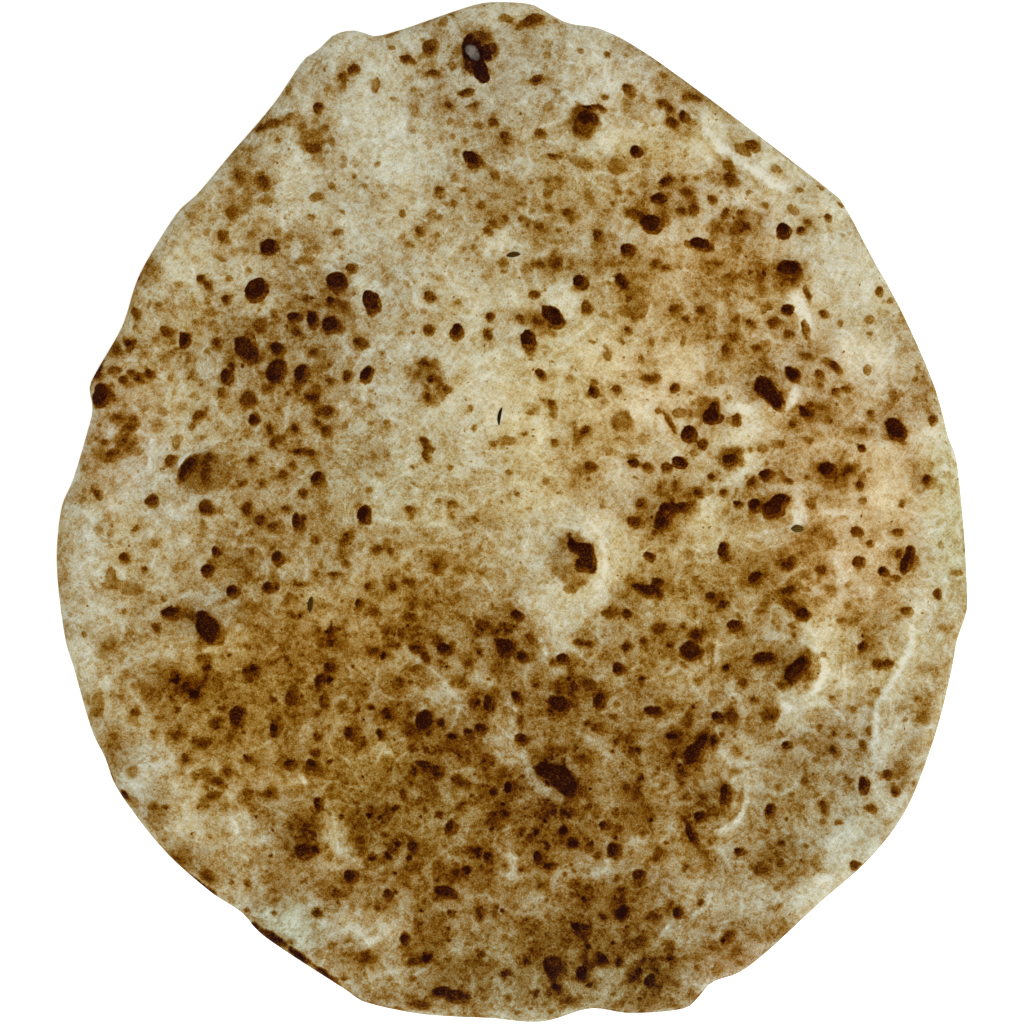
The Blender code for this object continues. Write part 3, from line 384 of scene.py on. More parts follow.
    (432, 958, 8, 6, 90), (507, 970, 10, 7, 0), (442, 947, 6, 6, 0), (505, 1004, 8, 4, 0),
    (575, 835, 6, 6, 0), (581, 834, 6, 6, 0), (645, 800, 8, 7, 0), (697, 860, 24, 18, 60),
    (617, 1005, 8, 5, 0), (530, 1004, 9, 6, 0), (762, 853, 12, 6, 0), (610, 950, 10, 8, 90),
    (791, 800, 8, 7, 0), (822, 820, 7, 6, 90), (838, 821, 9, 7, 0), (772, 837, 8, 6, 0),
    (794, 873, 8, 5, 0), (776, 887, 7, 6, 0), (777, 905, 13, 7, 0), (783, 920, 7, 6, 0),
    (797, 805, 16, 11, 0),
)

CLOUDED = (
    # far end
    (478, 52, 40, 50, 0), (313, 136, 34, 32, 0), (242, 186, 32, 38, 0), (583, 122, 34, 34, 0),
    (652, 216, 40, 28, 0),
    # left
    (330, 318, 50, 44, 0), (275, 362, 40, 36, 0), (247, 350, 36, 28, -50), (120, 445, 56, 24, 30),
    # middle
    (429, 382, 34, 46, 0), (622, 423, 22, 20, 0), (633, 300, 26, 40, 0), (545, 322, 34, 30, -40),
    # right
    (788, 277, 34, 24, 0), (768, 390, 38, 28, -20), (730, 458, 30, 24, 0), (704, 411, 34, 28, 0),
    (670, 508, 40, 36, 0), (775, 504, 32, 28, 0), (894, 430, 28, 24, 0), (902, 558, 22, 34, 70),
    (835, 470, 44, 30, 0), (810, 540, 34, 36, 0),
    # near left
    (212, 628, 44, 36, 20), (165, 690, 60, 40, 0), (240, 716, 44, 54, 0), (290, 768, 60, 24, 0),
    # near middle
    (573, 560, 44, 56, 0), (505, 640, 60, 48, 0), (425, 722, 40, 38, 0), (450, 742, 50, 34, 0),
    (560, 750, 48, 26, 0), (570, 694, 66, 26, 0), (432, 768, 44, 34, 0), (485, 705, 34, 44, 0),
    # near right
    (650, 588, 48, 22, 0), (692, 750, 44, 66, 50), (795, 668, 44, 40, 50),
    (682, 642, 50, 34, -30), (760, 656, 34, 26, 0), (722, 795, 30, 36, 80), (805, 608, 40, 26, 0),
    (757, 575, 40, 22, 0),
    # near end
    (300, 838, 46, 62, 0), (378, 815, 50, 60, 0), (650, 975, 56, 50, 0), (555, 962, 56, 46, 0),
    (640, 935, 64, 36, -20), (790, 857, 66, 46, 0), (450, 990, 50, 26, -8), (352, 876, 30, 26, 0),
    (415, 846, 34, 30, 0), (443, 890, 36, 24, 0), (340, 896, 40, 20, 0), (697, 860, 30, 22, 60),
    (583, 970, 30, 28, 0), (728, 936, 34, 30, 0),
)

# The marks with blisters under them, and how high the blisters stand for their width.
BLISTERED = ((CHARRED, 0.27), (BURNT, 0.24), (BROWNED, 0.15), (CLOUDED, 0.02))

# Broad stretches browned more or less than the rest, given like the marks, with the change in
# how done they are.
ZONES = (
    # far end
    (300, 236, 50, 34, 0, 0.06), (245, 180, 60, 100, 0, 0.11), (225, 222, 70, 60, 0, 0.05),
    (320, 140, 50, 56, 0, 0.05), (335, 80, 70, 44, 0, 0.08), (235, 130, 110, 60, 45, 0.06),
    (268, 248, 60, 40, 0, 0.08), (300, 180, 50, 80, 0, -0.14), (392, 145, 90, 130, 35, -0.16),
    (345, 235, 150, 66, 0, -0.08), (350, 45, 80, 44, 0, -0.08), (395, 75, 70, 66, 0, -0.09),
    (445, 140, 66, 64, 0, -0.07), (342, 165, 36, 90, 0, -0.05), (440, 100, 100, 190, 0, 0.08),
    (527, 30, 54, 26, 0, 0.10), (600, 75, 90, 120, 0, -0.13), (523, 85, 56, 56, 0, -0.08),
    (617, 140, 56, 34, 30, -0.14), (682, 105, 50, 80, 30, 0.11), (710, 135, 40, 60, 0, -0.16),
    (778, 178, 60, 70, 0, -0.14), (835, 205, 60, 60, -45, -0.14), (530, 210, 220, 100, 0, 0.10),
    (665, 200, 90, 80, 0, 0.13), (738, 226, 80, 50, 15, 0.15), (725, 175, 50, 40, 0, 0.06),
    (505, 245, 60, 40, 0, -0.08), (750, 155, 70, 50, 0, -0.10), (700, 112, 50, 40, -40, -0.06),
    (755, 203, 50, 40, 0, -0.08), (640, 235, 80, 36, 0, -0.06), (690, 228, 60, 40, 0, -0.08),
    (655, 216, 40, 40, 0, -0.09), (786, 230, 44, 66, 0, -0.08), (725, 230, 44, 34, 0, 0.05),
    (833, 226, 44, 44, 0, 0.06), (500, 18, 110, 36, 0, -0.13), (470, 84, 64, 44, 0, -0.12),
    (626, 52, 44, 40, 0, 0.14), (535, 52, 44, 30, 0, 0.07), (414, 50, 70, 36, 0, -0.09),
    (350, 80, 60, 36, 0, -0.06), (400, 208, 50, 44, 0, -0.09), (496, 240, 40, 40, 0, -0.09),
    (496, 146, 44, 50, 0, 0.12), (720, 205, 90, 44, 0, -0.07), (315, 240, 70, 34, 0, 0.10),
    (850, 240, 44, 110, -25, 0.09), (224, 170, 64, 60, 0, -0.04), (672, 224, 60, 60, 0, -0.04),
    (350, 110, 60, 60, 0, -0.05), (300, 115, 50, 50, 0, -0.06), (544, 40, 64, 50, 0, -0.04),
    (612, 143, 34, 26, 0, -0.05), (586, 90, 40, 16, 0, -0.03), (310, 96, 40, 40, 0, -0.04),
    (525, 225, 60, 60, 0, 0.02),
    # left
    (300, 550, 120, 60, 0, -0.05), (285, 335, 160, 170, 0, 0.20), (285, 450, 140, 220, 0, 0.14),
    (215, 320, 100, 100, 0, 0.06), (335, 500, 90, 120, 0, 0.04), (115, 370, 120, 120, 70, 0.09),
    (105, 440, 80, 60, 20, 0.05), (170, 380, 110, 110, 0, 0.06), (205, 473, 68, 54, 0, 0.24),
    (155, 515, 100, 60, 0, -0.02), (250, 290, 66, 90, -30, -0.11),
    (160, 390, 100, 70, -30, -0.09), (285, 380, 60, 90, -40, -0.07), (370, 285, 40, 50, 0, -0.05),
    (280, 362, 100, 110, 0, -0.04), (180, 270, 56, 90, -30, -0.12), (146, 268, 40, 56, 30, 0.20),
    (170, 300, 50, 50, 0, 0.08), (262, 304, 70, 40, 0, -0.14), (368, 300, 36, 44, 0, -0.11),
    (300, 365, 44, 40, 0, -0.06), (172, 448, 44, 60, 0, -0.09), (370, 455, 50, 60, 0, 0.12),
    (100, 530, 56, 60, 0, 0.09), (398, 556, 44, 36, 0, -0.09), (118, 360, 40, 60, 0, -0.05),
    (285, 430, 110, 120, 0, -0.02), (250, 520, 80, 60, 0, -0.02), (98, 396, 40, 50, 0, -0.04),
    # middle
    (430, 540, 56, 56, 0, 0.06), (475, 525, 44, 56, 0, 0.05), (415, 400, 80, 280, 0, -0.04),
    (480, 390, 110, 130, 0, -0.15), (475, 290, 110, 74, 0, -0.09), (530, 440, 50, 60, 0, -0.10),
    (540, 510, 100, 100, 0, -0.09), (602, 550, 60, 130, 0, -0.14), (430, 382, 50, 50, 0, 0.24),
    (580, 455, 50, 90, 0, 0.06), (622, 423, 30, 30, 0, 0.06), (545, 380, 56, 110, 0, -0.08),
    (490, 462, 110, 60, 0, -0.06), (600, 370, 50, 40, 0, -0.06), (460, 325, 70, 40, 0, -0.07),
    (620, 272, 100, 100, 0, 0.15), (560, 265, 90, 44, 0, 0.06), (570, 300, 60, 40, 0, -0.09),
    (605, 290, 40, 34, 0, -0.05), (555, 302, 60, 36, -20, -0.07), (614, 474, 66, 34, -20, -0.06),
    (520, 430, 90, 36, 0, -0.04), (590, 345, 130, 56, -30, -0.13), (485, 272, 70, 40, 0, 0.11),
    (525, 300, 44, 36, 0, -0.10), (478, 528, 60, 34, 0, 0.09), (592, 522, 40, 36, 0, -0.09),
    (624, 462, 34, 30, 0, 0.08),
    # right
    (655, 532, 44, 44, 0, 0.07), (730, 300, 150, 120, 30, 0.13), (735, 345, 80, 80, 0, 0.08),
    (785, 272, 60, 40, 0, 0.10), (640, 310, 34, 36, 0, -0.07), (778, 320, 48, 40, 0, 0.11),
    (850, 447, 120, 32, 5, -0.09), (905, 430, 36, 40, 0, -0.06), (845, 514, 70, 34, 15, -0.08),
    (790, 500, 40, 50, 0, -0.06), (742, 452, 34, 60, 30, -0.09), (700, 522, 34, 90, 10, -0.08),
    (742, 536, 56, 34, 0, -0.08), (786, 395, 56, 44, 30, -0.08), (660, 420, 180, 130, 0, -0.04),
    (855, 270, 70, 170, 25, -0.20), (862, 350, 70, 70, 0, -0.18), (825, 300, 80, 140, 10, -0.08),
    (945, 470, 60, 200, 5, -0.18), (885, 480, 50, 100, 0, -0.12), (925, 480, 40, 40, 0, 0.16),
    (805, 305, 66, 66, 0, -0.13), (870, 375, 80, 90, 0, -0.09), (665, 430, 110, 100, 0, -0.10),
    (732, 440, 80, 130, 20, -0.13), (788, 402, 54, 40, 0, -0.09), (800, 500, 66, 66, 0, -0.13),
    (862, 500, 110, 36, 10, -0.07), (915, 430, 50, 44, 0, -0.08), (920, 550, 70, 130, 0, -0.09),
    (845, 288, 40, 60, 30, 0.06), (870, 545, 70, 80, 0, -0.04), (790, 440, 220, 260, 0, 0.06),
    (645, 445, 44, 70, 60, 0.12), (702, 425, 70, 56, 40, 0.10), (808, 410, 70, 60, 30, 0.12),
    (830, 470, 66, 50, 0, 0.10), (765, 490, 110, 70, 0, 0.08), (765, 390, 60, 60, 0, 0.10),
    (892, 425, 60, 60, 0, 0.12), (752, 420, 54, 54, 0, -0.16), (682, 362, 60, 56, 0, -0.16),
    (645, 402, 60, 40, 0, -0.08), (668, 505, 80, 70, 40, 0.18), (710, 525, 44, 50, 0, -0.08),
    (812, 540, 54, 70, 0, 0.09), (905, 555, 50, 60, 0, 0.03), (755, 318, 50, 70, 0, -0.13),
    (875, 325, 60, 50, 0, 0.12), (912, 335, 50, 50, -40, 0.08), (930, 395, 56, 60, 0, 0.14),
    (848, 434, 44, 34, 0, 0.12), (775, 402, 44, 30, 0, -0.09), (755, 465, 36, 34, 0, -0.08),
    (722, 500, 36, 30, 0, -0.08), (784, 492, 34, 34, 0, -0.09), (835, 496, 60, 30, 0, 0.09),
    (845, 466, 36, 30, 0, -0.06), (656, 492, 34, 34, 0, -0.06), (945, 500, 44, 150, 5, 0.09),
    (665, 532, 50, 30, 0, 0.07), (850, 548, 100, 50, 0, -0.06), (670, 480, 64, 60, 0, -0.03),
    (864, 480, 64, 60, 0, -0.03), (795, 285, 60, 50, 0, -0.035), (736, 352, 64, 50, 0, -0.035),
    # near left
    (190, 690, 150, 90, 0, 0.14), (175, 615, 90, 44, 0, 0.10), (265, 565, 190, 120, 0, 0.13),
    (380, 570, 260, 90, 0, 0.06), (325, 670, 70, 66, 45, 0.08), (290, 725, 60, 110, 0, 0.07),
    (262, 645, 140, 90, 0, 0.13), (340, 628, 190, 50, 0, 0.06), (150, 668, 84, 90, 0, 0.08),
    (240, 715, 56, 80, 0, 0.07), (195, 688, 100, 44, 0, 0.08), (188, 618, 56, 40, 0, 0.09),
    (175, 690, 80, 56, 0, 0.10), (262, 675, 44, 66, 0, 0.05), (130, 592, 80, 40, 0, 0.05),
    (385, 755, 50, 30, 0, -0.06), (275, 778, 90, 30, 0, -0.12), (160, 648, 70, 28, 0, -0.10),
    (238, 640, 44, 34, 0, -0.10), (165, 785, 80, 60, -30, -0.12), (100, 560, 70, 170, 0, -0.09),
    (80, 655, 44, 56, 0, -0.10), (360, 570, 60, 44, 0, -0.06), (240, 560, 36, 36, 0, 0.11),
    (300, 572, 60, 60, 0, -0.12), (192, 590, 70, 34, 0, 0.10), (125, 635, 70, 50, 30, 0.11),
    (335, 648, 50, 50, 0, 0.12), (270, 622, 40, 34, 0, 0.08), (208, 658, 50, 30, 0, -0.12),
    (115, 740, 50, 80, 30, 0.10), (176, 722, 44, 40, 0, 0.12), (336, 716, 34, 34, 0, -0.09),
    (366, 722, 34, 34, 0, 0.09), (352, 608, 64, 60, 0, 0.03), (300, 757, 50, 30, 0, 0.05),
    # near middle
    (455, 775, 620, 480, 0, 0.23), (415, 770, 210, 90, 50, 0.07), (435, 668, 44, 30, 0, 0.06),
    (405, 712, 44, 40, 0, 0.06), (500, 640, 80, 80, -30, 0.10), (410, 630, 70, 50, -30, 0.08),
    (565, 695, 90, 44, 0, 0.08), (496, 785, 56, 66, 0, 0.07), (562, 755, 70, 44, 0, 0.07),
    (520, 602, 56, 40, 0, 0.07), (618, 602, 50, 36, 0, 0.05), (552, 636, 60, 44, 0, -0.09),
    (612, 690, 34, 44, 0, -0.07), (480, 660, 80, 34, -45, -0.06), (445, 698, 66, 50, 0, -0.14),
    (500, 740, 34, 70, 0, -0.12), (600, 745, 40, 40, 0, -0.06), (560, 605, 90, 60, 0, -0.14),
    (560, 592, 130, 100, 30, -0.10), (525, 560, 40, 40, 0, -0.10), (440, 594, 100, 34, 0, 0.09),
    (470, 672, 60, 50, 0, -0.09), (432, 690, 40, 36, 0, 0.06), (572, 655, 66, 40, 0, -0.15),
    (560, 692, 40, 34, 0, 0.08), (622, 658, 36, 30, 0, 0.07), (482, 752, 60, 36, 0, 0.11),
    (400, 750, 36, 30, 0, -0.10), (415, 785, 70, 34, 0, 0.06), (416, 672, 70, 70, 0, -0.05),
    (500, 636, 50, 40, 0, 0.04), (480, 590, 60, 60, 0, -0.02), (450, 640, 60, 40, 0, -0.03),
    # near right
    (730, 590, 170, 160, 0, 0.13), (745, 700, 120, 130, 0, 0.10), (690, 745, 130, 66, 55, 0.12),
    (650, 770, 90, 130, 0, 0.08), (640, 692, 44, 50, 0, 0.09), (745, 662, 60, 60, 0, 0.06),
    (790, 740, 130, 120, 0, 0.06), (670, 636, 44, 60, 35, 0.09), (715, 592, 50, 30, 0, 0.06),
    (842, 700, 50, 130, 0, 0.04), (893, 668, 34, 60, -35, -0.08), (715, 655, 44, 60, 0, -0.08),
    (798, 704, 76, 50, 30, -0.12), (885, 660, 34, 96, -35, -0.11), (740, 790, 40, 50, 0, -0.07),
    (870, 762, 34, 120, -10, -0.05), (935, 625, 80, 90, 0, -0.12),
    (905, 700, 44, 150, -20, -0.12), (830, 655, 60, 120, 0, -0.14),
    (935, 745, 50, 170, -20, -0.14), (960, 580, 40, 60, 0, -0.08), (855, 570, 40, 40, 0, -0.06),
    (805, 612, 50, 44, 0, -0.09), (912, 702, 44, 50, 0, 0.14), (710, 592, 50, 40, 0, 0.05),
    (820, 575, 40, 40, 0, 0.05), (880, 635, 54, 100, 0, 0.08), (898, 775, 40, 44, 0, 0.10),
    (645, 588, 90, 50, 20, 0.12), (790, 605, 60, 60, 0, 0.05), (757, 570, 90, 50, 0, 0.08),
    (682, 642, 100, 56, 0, 0.08), (790, 665, 66, 56, 50, 0.16), (718, 595, 36, 34, 0, 0.11),
    (680, 622, 60, 34, 0, -0.10), (728, 670, 56, 56, 0, 0.09), (865, 640, 70, 90, 0, 0.13),
    (940, 650, 50, 150, -15, 0.11), (925, 745, 60, 120, -20, 0.15), (825, 758, 120, 80, 0, 0.12),
    (845, 795, 60, 60, 0, 0.10), (745, 748, 60, 36, 0, -0.12), (784, 716, 36, 30, 0, -0.08),
    (655, 785, 34, 44, 0, -0.10), (672, 608, 64, 64, 0, -0.03),
    # near end
    (600, 940, 210, 140, 20, 0.12), (720, 945, 110, 80, 0, 0.14), (450, 988, 150, 60, 0, 0.10),
    (645, 985, 90, 70, 60, 0.12), (340, 955, 130, 60, -40, 0.10), (560, 805, 90, 170, 0, 0.08),
    (495, 800, 56, 56, 0, 0.06), (450, 880, 110, 56, 45, 0.06), (300, 840, 48, 70, 0, 0.12),
    (700, 810, 70, 70, -30, 0.10), (500, 960, 400, 140, 0, 0.09), (702, 800, 60, 50, 0, 0.06),
    (560, 832, 150, 60, 0, 0.07), (590, 925, 210, 110, 35, 0.11), (645, 975, 60, 60, 0, 0.08),
    (430, 930, 60, 60, 0, 0.08), (480, 952, 50, 60, 0, 0.08), (370, 812, 60, 60, 0, 0.05),
    (190, 862, 70, 50, -45, 0.12), (165, 815, 44, 50, -45, 0.07), (375, 822, 60, 60, 0, 0.10),
    (790, 857, 90, 56, 0, 0.14), (780, 802, 110, 56, 0, 0.10), (312, 828, 34, 44, 0, 0.05),
    (360, 880, 120, 34, 0, 0.07), (400, 850, 44, 44, 0, 0.06), (490, 865, 44, 56, 0, 0.08),
    (640, 800, 56, 56, 0, 0.07), (706, 800, 44, 44, 0, 0.08), (770, 838, 90, 60, -35, 0.08),
    (800, 890, 56, 40, 0, 0.09), (668, 985, 90, 90, 50, 0.13), (742, 948, 100, 56, 20, 0.09),
    (155, 812, 36, 50, -30, 0.06), (385, 1000, 60, 34, 0, 0.06), (545, 910, 66, 56, 0, -0.10),
    (500, 985, 36, 56, 0, -0.08), (325, 965, 44, 44, 0, -0.09), (190, 832, 50, 34, -20, -0.07),
    (242, 842, 56, 40, 0, -0.06), (335, 840, 34, 70, 0, -0.12), (598, 865, 70, 34, 0, -0.12),
    (665, 800, 44, 70, 0, -0.12), (510, 865, 30, 60, 0, -0.08), (475, 930, 80, 60, 0, -0.06),
    (385, 980, 80, 44, 0, -0.08), (720, 890, 80, 54, 0, -0.08), (285, 910, 110, 50, -30, -0.14),
    (365, 925, 110, 44, 0, -0.20), (190, 822, 70, 44, -30, -0.10), (240, 835, 50, 44, 0, -0.08),
    (310, 930, 56, 80, 30, -0.09), (855, 850, 150, 70, 40, -0.14), (812, 900, 70, 60, 45, -0.16),
    (875, 835, 60, 60, 40, 0.12), (155, 800, 60, 60, -40, 0.10), (238, 815, 40, 34, 0, -0.10),
    (300, 832, 44, 50, 0, 0.09), (530, 816, 110, 34, 0, 0.07), (650, 818, 90, 34, 0, 0.07),
    (345, 868, 60, 50, 0, -0.10), (270, 900, 60, 70, -40, 0.15), (562, 858, 34, 44, 0, -0.08),
    (725, 872, 80, 70, 0, 0.15), (785, 925, 50, 70, 30, 0.10), (510, 944, 60, 36, 0, -0.09),
    (625, 944, 36, 34, 0, 0.11), (615, 976, 60, 34, 0, -0.10), (498, 1005, 40, 30, 0, -0.09),
    (365, 1000, 44, 34, 0, 0.12), (635, 1008, 120, 30, 0, 0.09), (480, 995, 64, 60, 0, 0.06),
    (544, 800, 70, 64, 0, 0.05), (672, 800, 64, 64, 0, 0.045), (800, 928, 70, 64, 0, 0.045),
    (155, 860, 60, 60, 0, 0.07), (182, 848, 50, 50, 0, 0.08), (544, 990, 64, 50, 0, 0.06),
    (750, 925, 110, 60, 0, 0.03), (850, 800, 110, 64, 0, -0.045), (480, 800, 64, 60, 0, -0.03),
    (224, 800, 64, 60, 0, -0.03), (290, 925, 60, 60, 0, 0.04), (785, 852, 60, 40, -10, 0.05),
    (185, 862, 40, 40, -40, 0.08), (560, 1000, 64, 30, 0, 0.05), (664, 985, 40, 40, 0, 0.02),
    (374, 815, 46, 46, 0, 0.06),
)
PLAIN_DONENESS = 0.325  # how done the rest is

# Stretches that are more golden than the rest, or greyer where their last value is below 0.
GOLDEN = (
    (690, 310, 260, 190, 10, 0.8), (560, 420, 170, 200, 0, 0.8), (630, 400, 150, 150, 0, 0.3),
    (850, 560, 150, 320, 0, 0.7), (810, 420, 150, 130, 0, 0.5), (700, 560, 280, 170, 0, 0.5),
    (290, 650, 360, 140, 20, 0.7), (220, 740, 190, 170, 0, 0.6), (350, 780, 150, 150, 0, 0.6),
    (470, 545, 260, 140, 25, 0.5), (620, 180, 220, 110, 20, 0.4), (680, 150, 110, 60, -20, 0.4),
    (690, 660, 180, 90, 0, 0.4), (140, 390, 90, 90, 0, 0.2), (200, 325, 60, 60, 0, 0.4),
    (390, 100, 470, 240, 10, -0.6), (480, 60, 110, 130, 0, -0.5), (330, 260, 200, 200, 0, -0.3),
    (370, 340, 150, 300, 0, -0.4), (190, 260, 130, 140, 0, -0.1), (260, 350, 180, 110, 0, -0.4),
    (170, 480, 140, 110, 0, -0.5), (85, 570, 60, 240, 0, -0.5), (215, 615, 80, 60, 0, -0.7),
    (140, 775, 110, 100, 0, -0.7), (290, 930, 180, 110, 0, -0.6), (560, 1000, 520, 90, 0, -0.8),
    (780, 900, 320, 160, 20, -0.6), (830, 780, 240, 200, 0, -0.4), (545, 545, 110, 90, 0, -0.5),
    (770, 385, 70, 60, 0, -0.4), (545, 785, 90, 70, 0, -0.6), (850, 250, 110, 120, 0, -0.2),
    (435, 710, 90, 60, 0, -0.3), (600, 865, 70, 50, 0, -0.5), (655, 885, 60, 50, 0, -0.5),
    (905, 480, 110, 120, 0, 0.6), (288, 925, 90, 70, 0, -0.5), (600, 985, 200, 70, 0, -0.4),
    (672, 990, 80, 50, 0, -0.5), (560, 950, 320, 140, 0, -0.5), (320, 690, 300, 230, 0, 0.4),
    (700, 440, 260, 180, 0, 0.3), (600, 50, 300, 120, 20, -0.4), (100, 400, 90, 200, 0, -0.3),
    (690, 560, 240, 120, 0, 0.3), (870, 780, 160, 240, 20, -0.3),
)

# Stretches that are ruddier than the rest, or less so where their last value is below 0.
RUDDY = (
    (850, 480, 230, 330, 0, 0.7), (840, 560, 130, 120, 0, 0.3), (720, 330, 280, 240, 20, 0.4),
    (640, 450, 200, 220, 0, 0.3), (700, 220, 260, 160, 0, 0.3), (560, 970, 360, 120, 0, -0.4),
    (955, 500, 90, 240, 0, -0.6), (288, 925, 90, 70, 0, -0.6), (640, 90, 140, 120, 0, 0.2),
    (120, 430, 110, 170, 0, 0.4), (730, 1000, 160, 90, -20, 0.3), (820, 820, 150, 120, 0, -0.2),
    (330, 640, 200, 80, 0, 0.2), (740, 960, 120, 70, -20, 0.4), (380, 480, 200, 140, 0, -0.2),
    (400, 800, 200, 150, 0, -0.3),
)

# Creases and torn strands in the crust: points on the picture, width in its pixels, how much
# paler the crease is, and how much darker the crust is to its right, going along the points.
# The paleness is partly paler dough and partly a painted highlight on the raised crease, and
# the darker strip is a painted shadow beside it; where the paleness is below 0 the crease is
# a dark line.
CREASES = (
    # far end
    (((702, 111), (708, 134), (722, 151), (742, 164), (766, 180), (791, 194)), 10, 0.20, 0.16),
    (((309, 78), (313, 68), (319, 62)), 3, -0.20, 0.0), (((346, 47), (347, 55)), 3, -0.20, 0.0),
    (((384, 37), (400, 32)), 3, -0.30, 0.0), (((465, 172), (477, 179), (489, 173)), 8, 0.13, 0.0),
    # left
    (((155, 430), (153, 450), (150, 478)), 5, 0.12, 0.04),
    (((90, 500), (88, 530), (93, 562)), 13, 0.10, 0.0),
    (((178, 482), (180, 466), (188, 457), (200, 450)), 4, 0.22, 0.0),
    # middle
    (((400, 481), (412, 485), (423, 493)), 4, 0.16, 0.08),
    (((406, 278), (418, 293)), 4, 0.14, 0.06),
    (((598, 530), (604, 548), (606, 568), (600, 584), (589, 591)), 6, 0.16, 0.0),
    # right
    (((788, 297), (797, 301), (803, 311), (807, 327), (808, 342)), 12, 0.30, 0.04),
    (((797, 384), (795, 397), (787, 407), (776, 414)), 8, 0.26, 0.08),
    (((724, 405), (748, 411), (757, 417)), 9, 0.18, 0.0),
    (((743, 446), (748, 455), (746, 466), (742, 478), (728, 481), (710, 489), (704, 505),
      (700, 524)), 8, 0.17, 0.0),
    (((797, 499), (799, 512), (794, 524), (786, 531)), 10, 0.26, 0.0),
    (((728, 539), (750, 535), (785, 528)), 5, 0.16, 0.0),
    (((690, 543), (702, 548)), 11, 0.24, 0.0),
    (((810, 515), (838, 511), (860, 516)), 7, 0.14, 0.0),
    (((832, 550), (838, 570), (846, 583)), 7, 0.16, 0.0),
    # near left
    (((281, 770), (290, 774), (301, 780)), 8, 0.14, 0.0),
    (((91, 575), (96, 588), (99, 597)), 3, -0.16, 0.0), (((100, 600), (112, 621)), 8, 0.10, 0.0),
    (((120, 625), (140, 648)), 3, 0.08, 0.0),
    (((228, 615), (222, 632), (215, 650)), 6, 0.16, 0.0),
    (((360, 650), (367, 670)), 8, 0.15, 0.0), (((372, 688), (375, 722)), 9, 0.12, 0.0),
    (((298, 770), (304, 780), (306, 790)), 6, 0.28, 0.06),
    (((384, 752), (396, 751)), 8, 0.20, 0.0),
    # near middle
    (((470, 616), (475, 626)), 3, 0.20, 0.0),
    (((455, 772), (466, 767), (477, 771)), 4, 0.12, 0.0),
    (((535, 628), (545, 650), (550, 667)), 5, 0.16, 0.06),
    (((560, 719), (602, 746)), 4, 0.08, 0.0), (((518, 702), (512, 729)), 3, 0.20, 0.08),
    (((504, 684), (508, 700), (513, 718), (514, 735), (511, 750), (518, 764)), 9, 0.18, 0.0),
    (((502, 728), (499, 758)), 9, 0.13, 0.0),
    (((519, 750), (526, 767), (536, 783), (551, 794), (562, 801)), 10, 0.26, 0.0),
    # near right
    (((646, 649), (634, 669)), 4, 0.16, 0.05),
    (((715, 639), (718, 664), (714, 676)), 5, 0.20, 0.12),
    (((672, 694), (679, 706)), 4, 0.14, 0.0),
    (((800, 640), (818, 650), (825, 670), (815, 690), (800, 701)), 6, 0.20, 0.10),
    (((823, 650), (823, 676)), 3, 0.14, 0.05), (((844, 640), (845, 690)), 3, 0.14, 0.05),
    (((912, 608), (912, 640), (904, 657), (894, 676), (884, 692), (877, 705), (873, 740),
      (871, 762)), 7, 0.24, 0.10),
    (((943, 570), (948, 612)), 8, 0.20, 0.05), (((912, 606), (914, 622)), 12, 0.22, 0.0),
    (((806, 604), (811, 612), (811, 622)), 9, 0.20, 0.0),
    (((797, 698), (786, 706), (770, 714)), 10, 0.16, 0.0),
    (((640, 600), (655, 603)), 5, 0.16, 0.0),
    (((748, 784), (745, 805), (738, 820), (725, 828), (713, 832)), 6, 0.26, 0.12),
    # near end
    (((231, 812), (236, 828), (245, 843)), 6, 0.15, 0.0),
    (((246, 803), (249, 817)), 5, 0.14, 0.0),
    (((232, 894), (262, 909), (290, 926), (310, 943), (323, 962)), 16, 0.12, 0.0),
    (((386, 921), (379, 935), (363, 945), (343, 947)), 7, 0.18, 0.06),
    (((370, 976), (402, 970)), 5, 0.14, 0.04),
    (((327, 872), (345, 862), (366, 857)), 4, 0.12, 0.04),
    (((362, 868), (386, 877), (411, 880)), 3, 0.10, 0.0),
    (((711, 889), (705, 905), (689, 918)), 5, 0.22, 0.08),
    (((673, 919), (654, 942)), 4, 0.20, 0.08),
    (((650, 945), (627, 960), (612, 981)), 8, 0.12, 0.04),
    (((675, 860), (692, 876)), 3, 0.15, 0.0), (((704, 926), (741, 916)), 3, 0.12, 0.05),
    (((719, 849), (736, 873)), 5, 0.12, 0.0),
    (((507, 818), (511, 860), (506, 887)), 10, 0.12, 0.0),
    (((533, 889), (538, 916)), 5, 0.10, 0.0),
    (((713, 974), (698, 995), (680, 1008)), 8, 0.22, 0.0),
)

SEEDS = {  # husk, middle x and y, length, width, turn in degrees, bend
    "seed_middle": ("dark_husk", -3.2, 26.6, 5.2, 1.0, 81, 0.35),
    "seed_far": ("brown_husk", 0.3, 71.7, 4.0, 1.5, 8, 0.12),
    "seed_left": ("brown_husk", -56.2, -25.9, 4.5, 1.5, 84, 0.10),
    "seed_right": ("olive_husk", 79.5, -4.7, 3.6, 2.1, 0, 0.05),
}


# ---------------------------------------------------------------------------------------
# The bread's form, for places given by their x and y in millimetres
# ---------------------------------------------------------------------------------------
def closed_curve(points, steps):
    """A smooth closed curve through the points, as rows of x and y."""
    rows = np.array(points)
    before, here, after, beyond = (np.roll(rows, -k, axis=0)[:, None, :] for k in (-1, 0, 1, 2))
    t = (np.arange(steps) / steps)[None, :, None]
    bend = 2 * before - 5 * here + 4 * after - beyond
    twist = 3 * here - before - 3 * after + beyond
    return ((2 * here + (after - before) * t + bend * t**2 + twist * t**3) / 2).reshape(-1, 2)


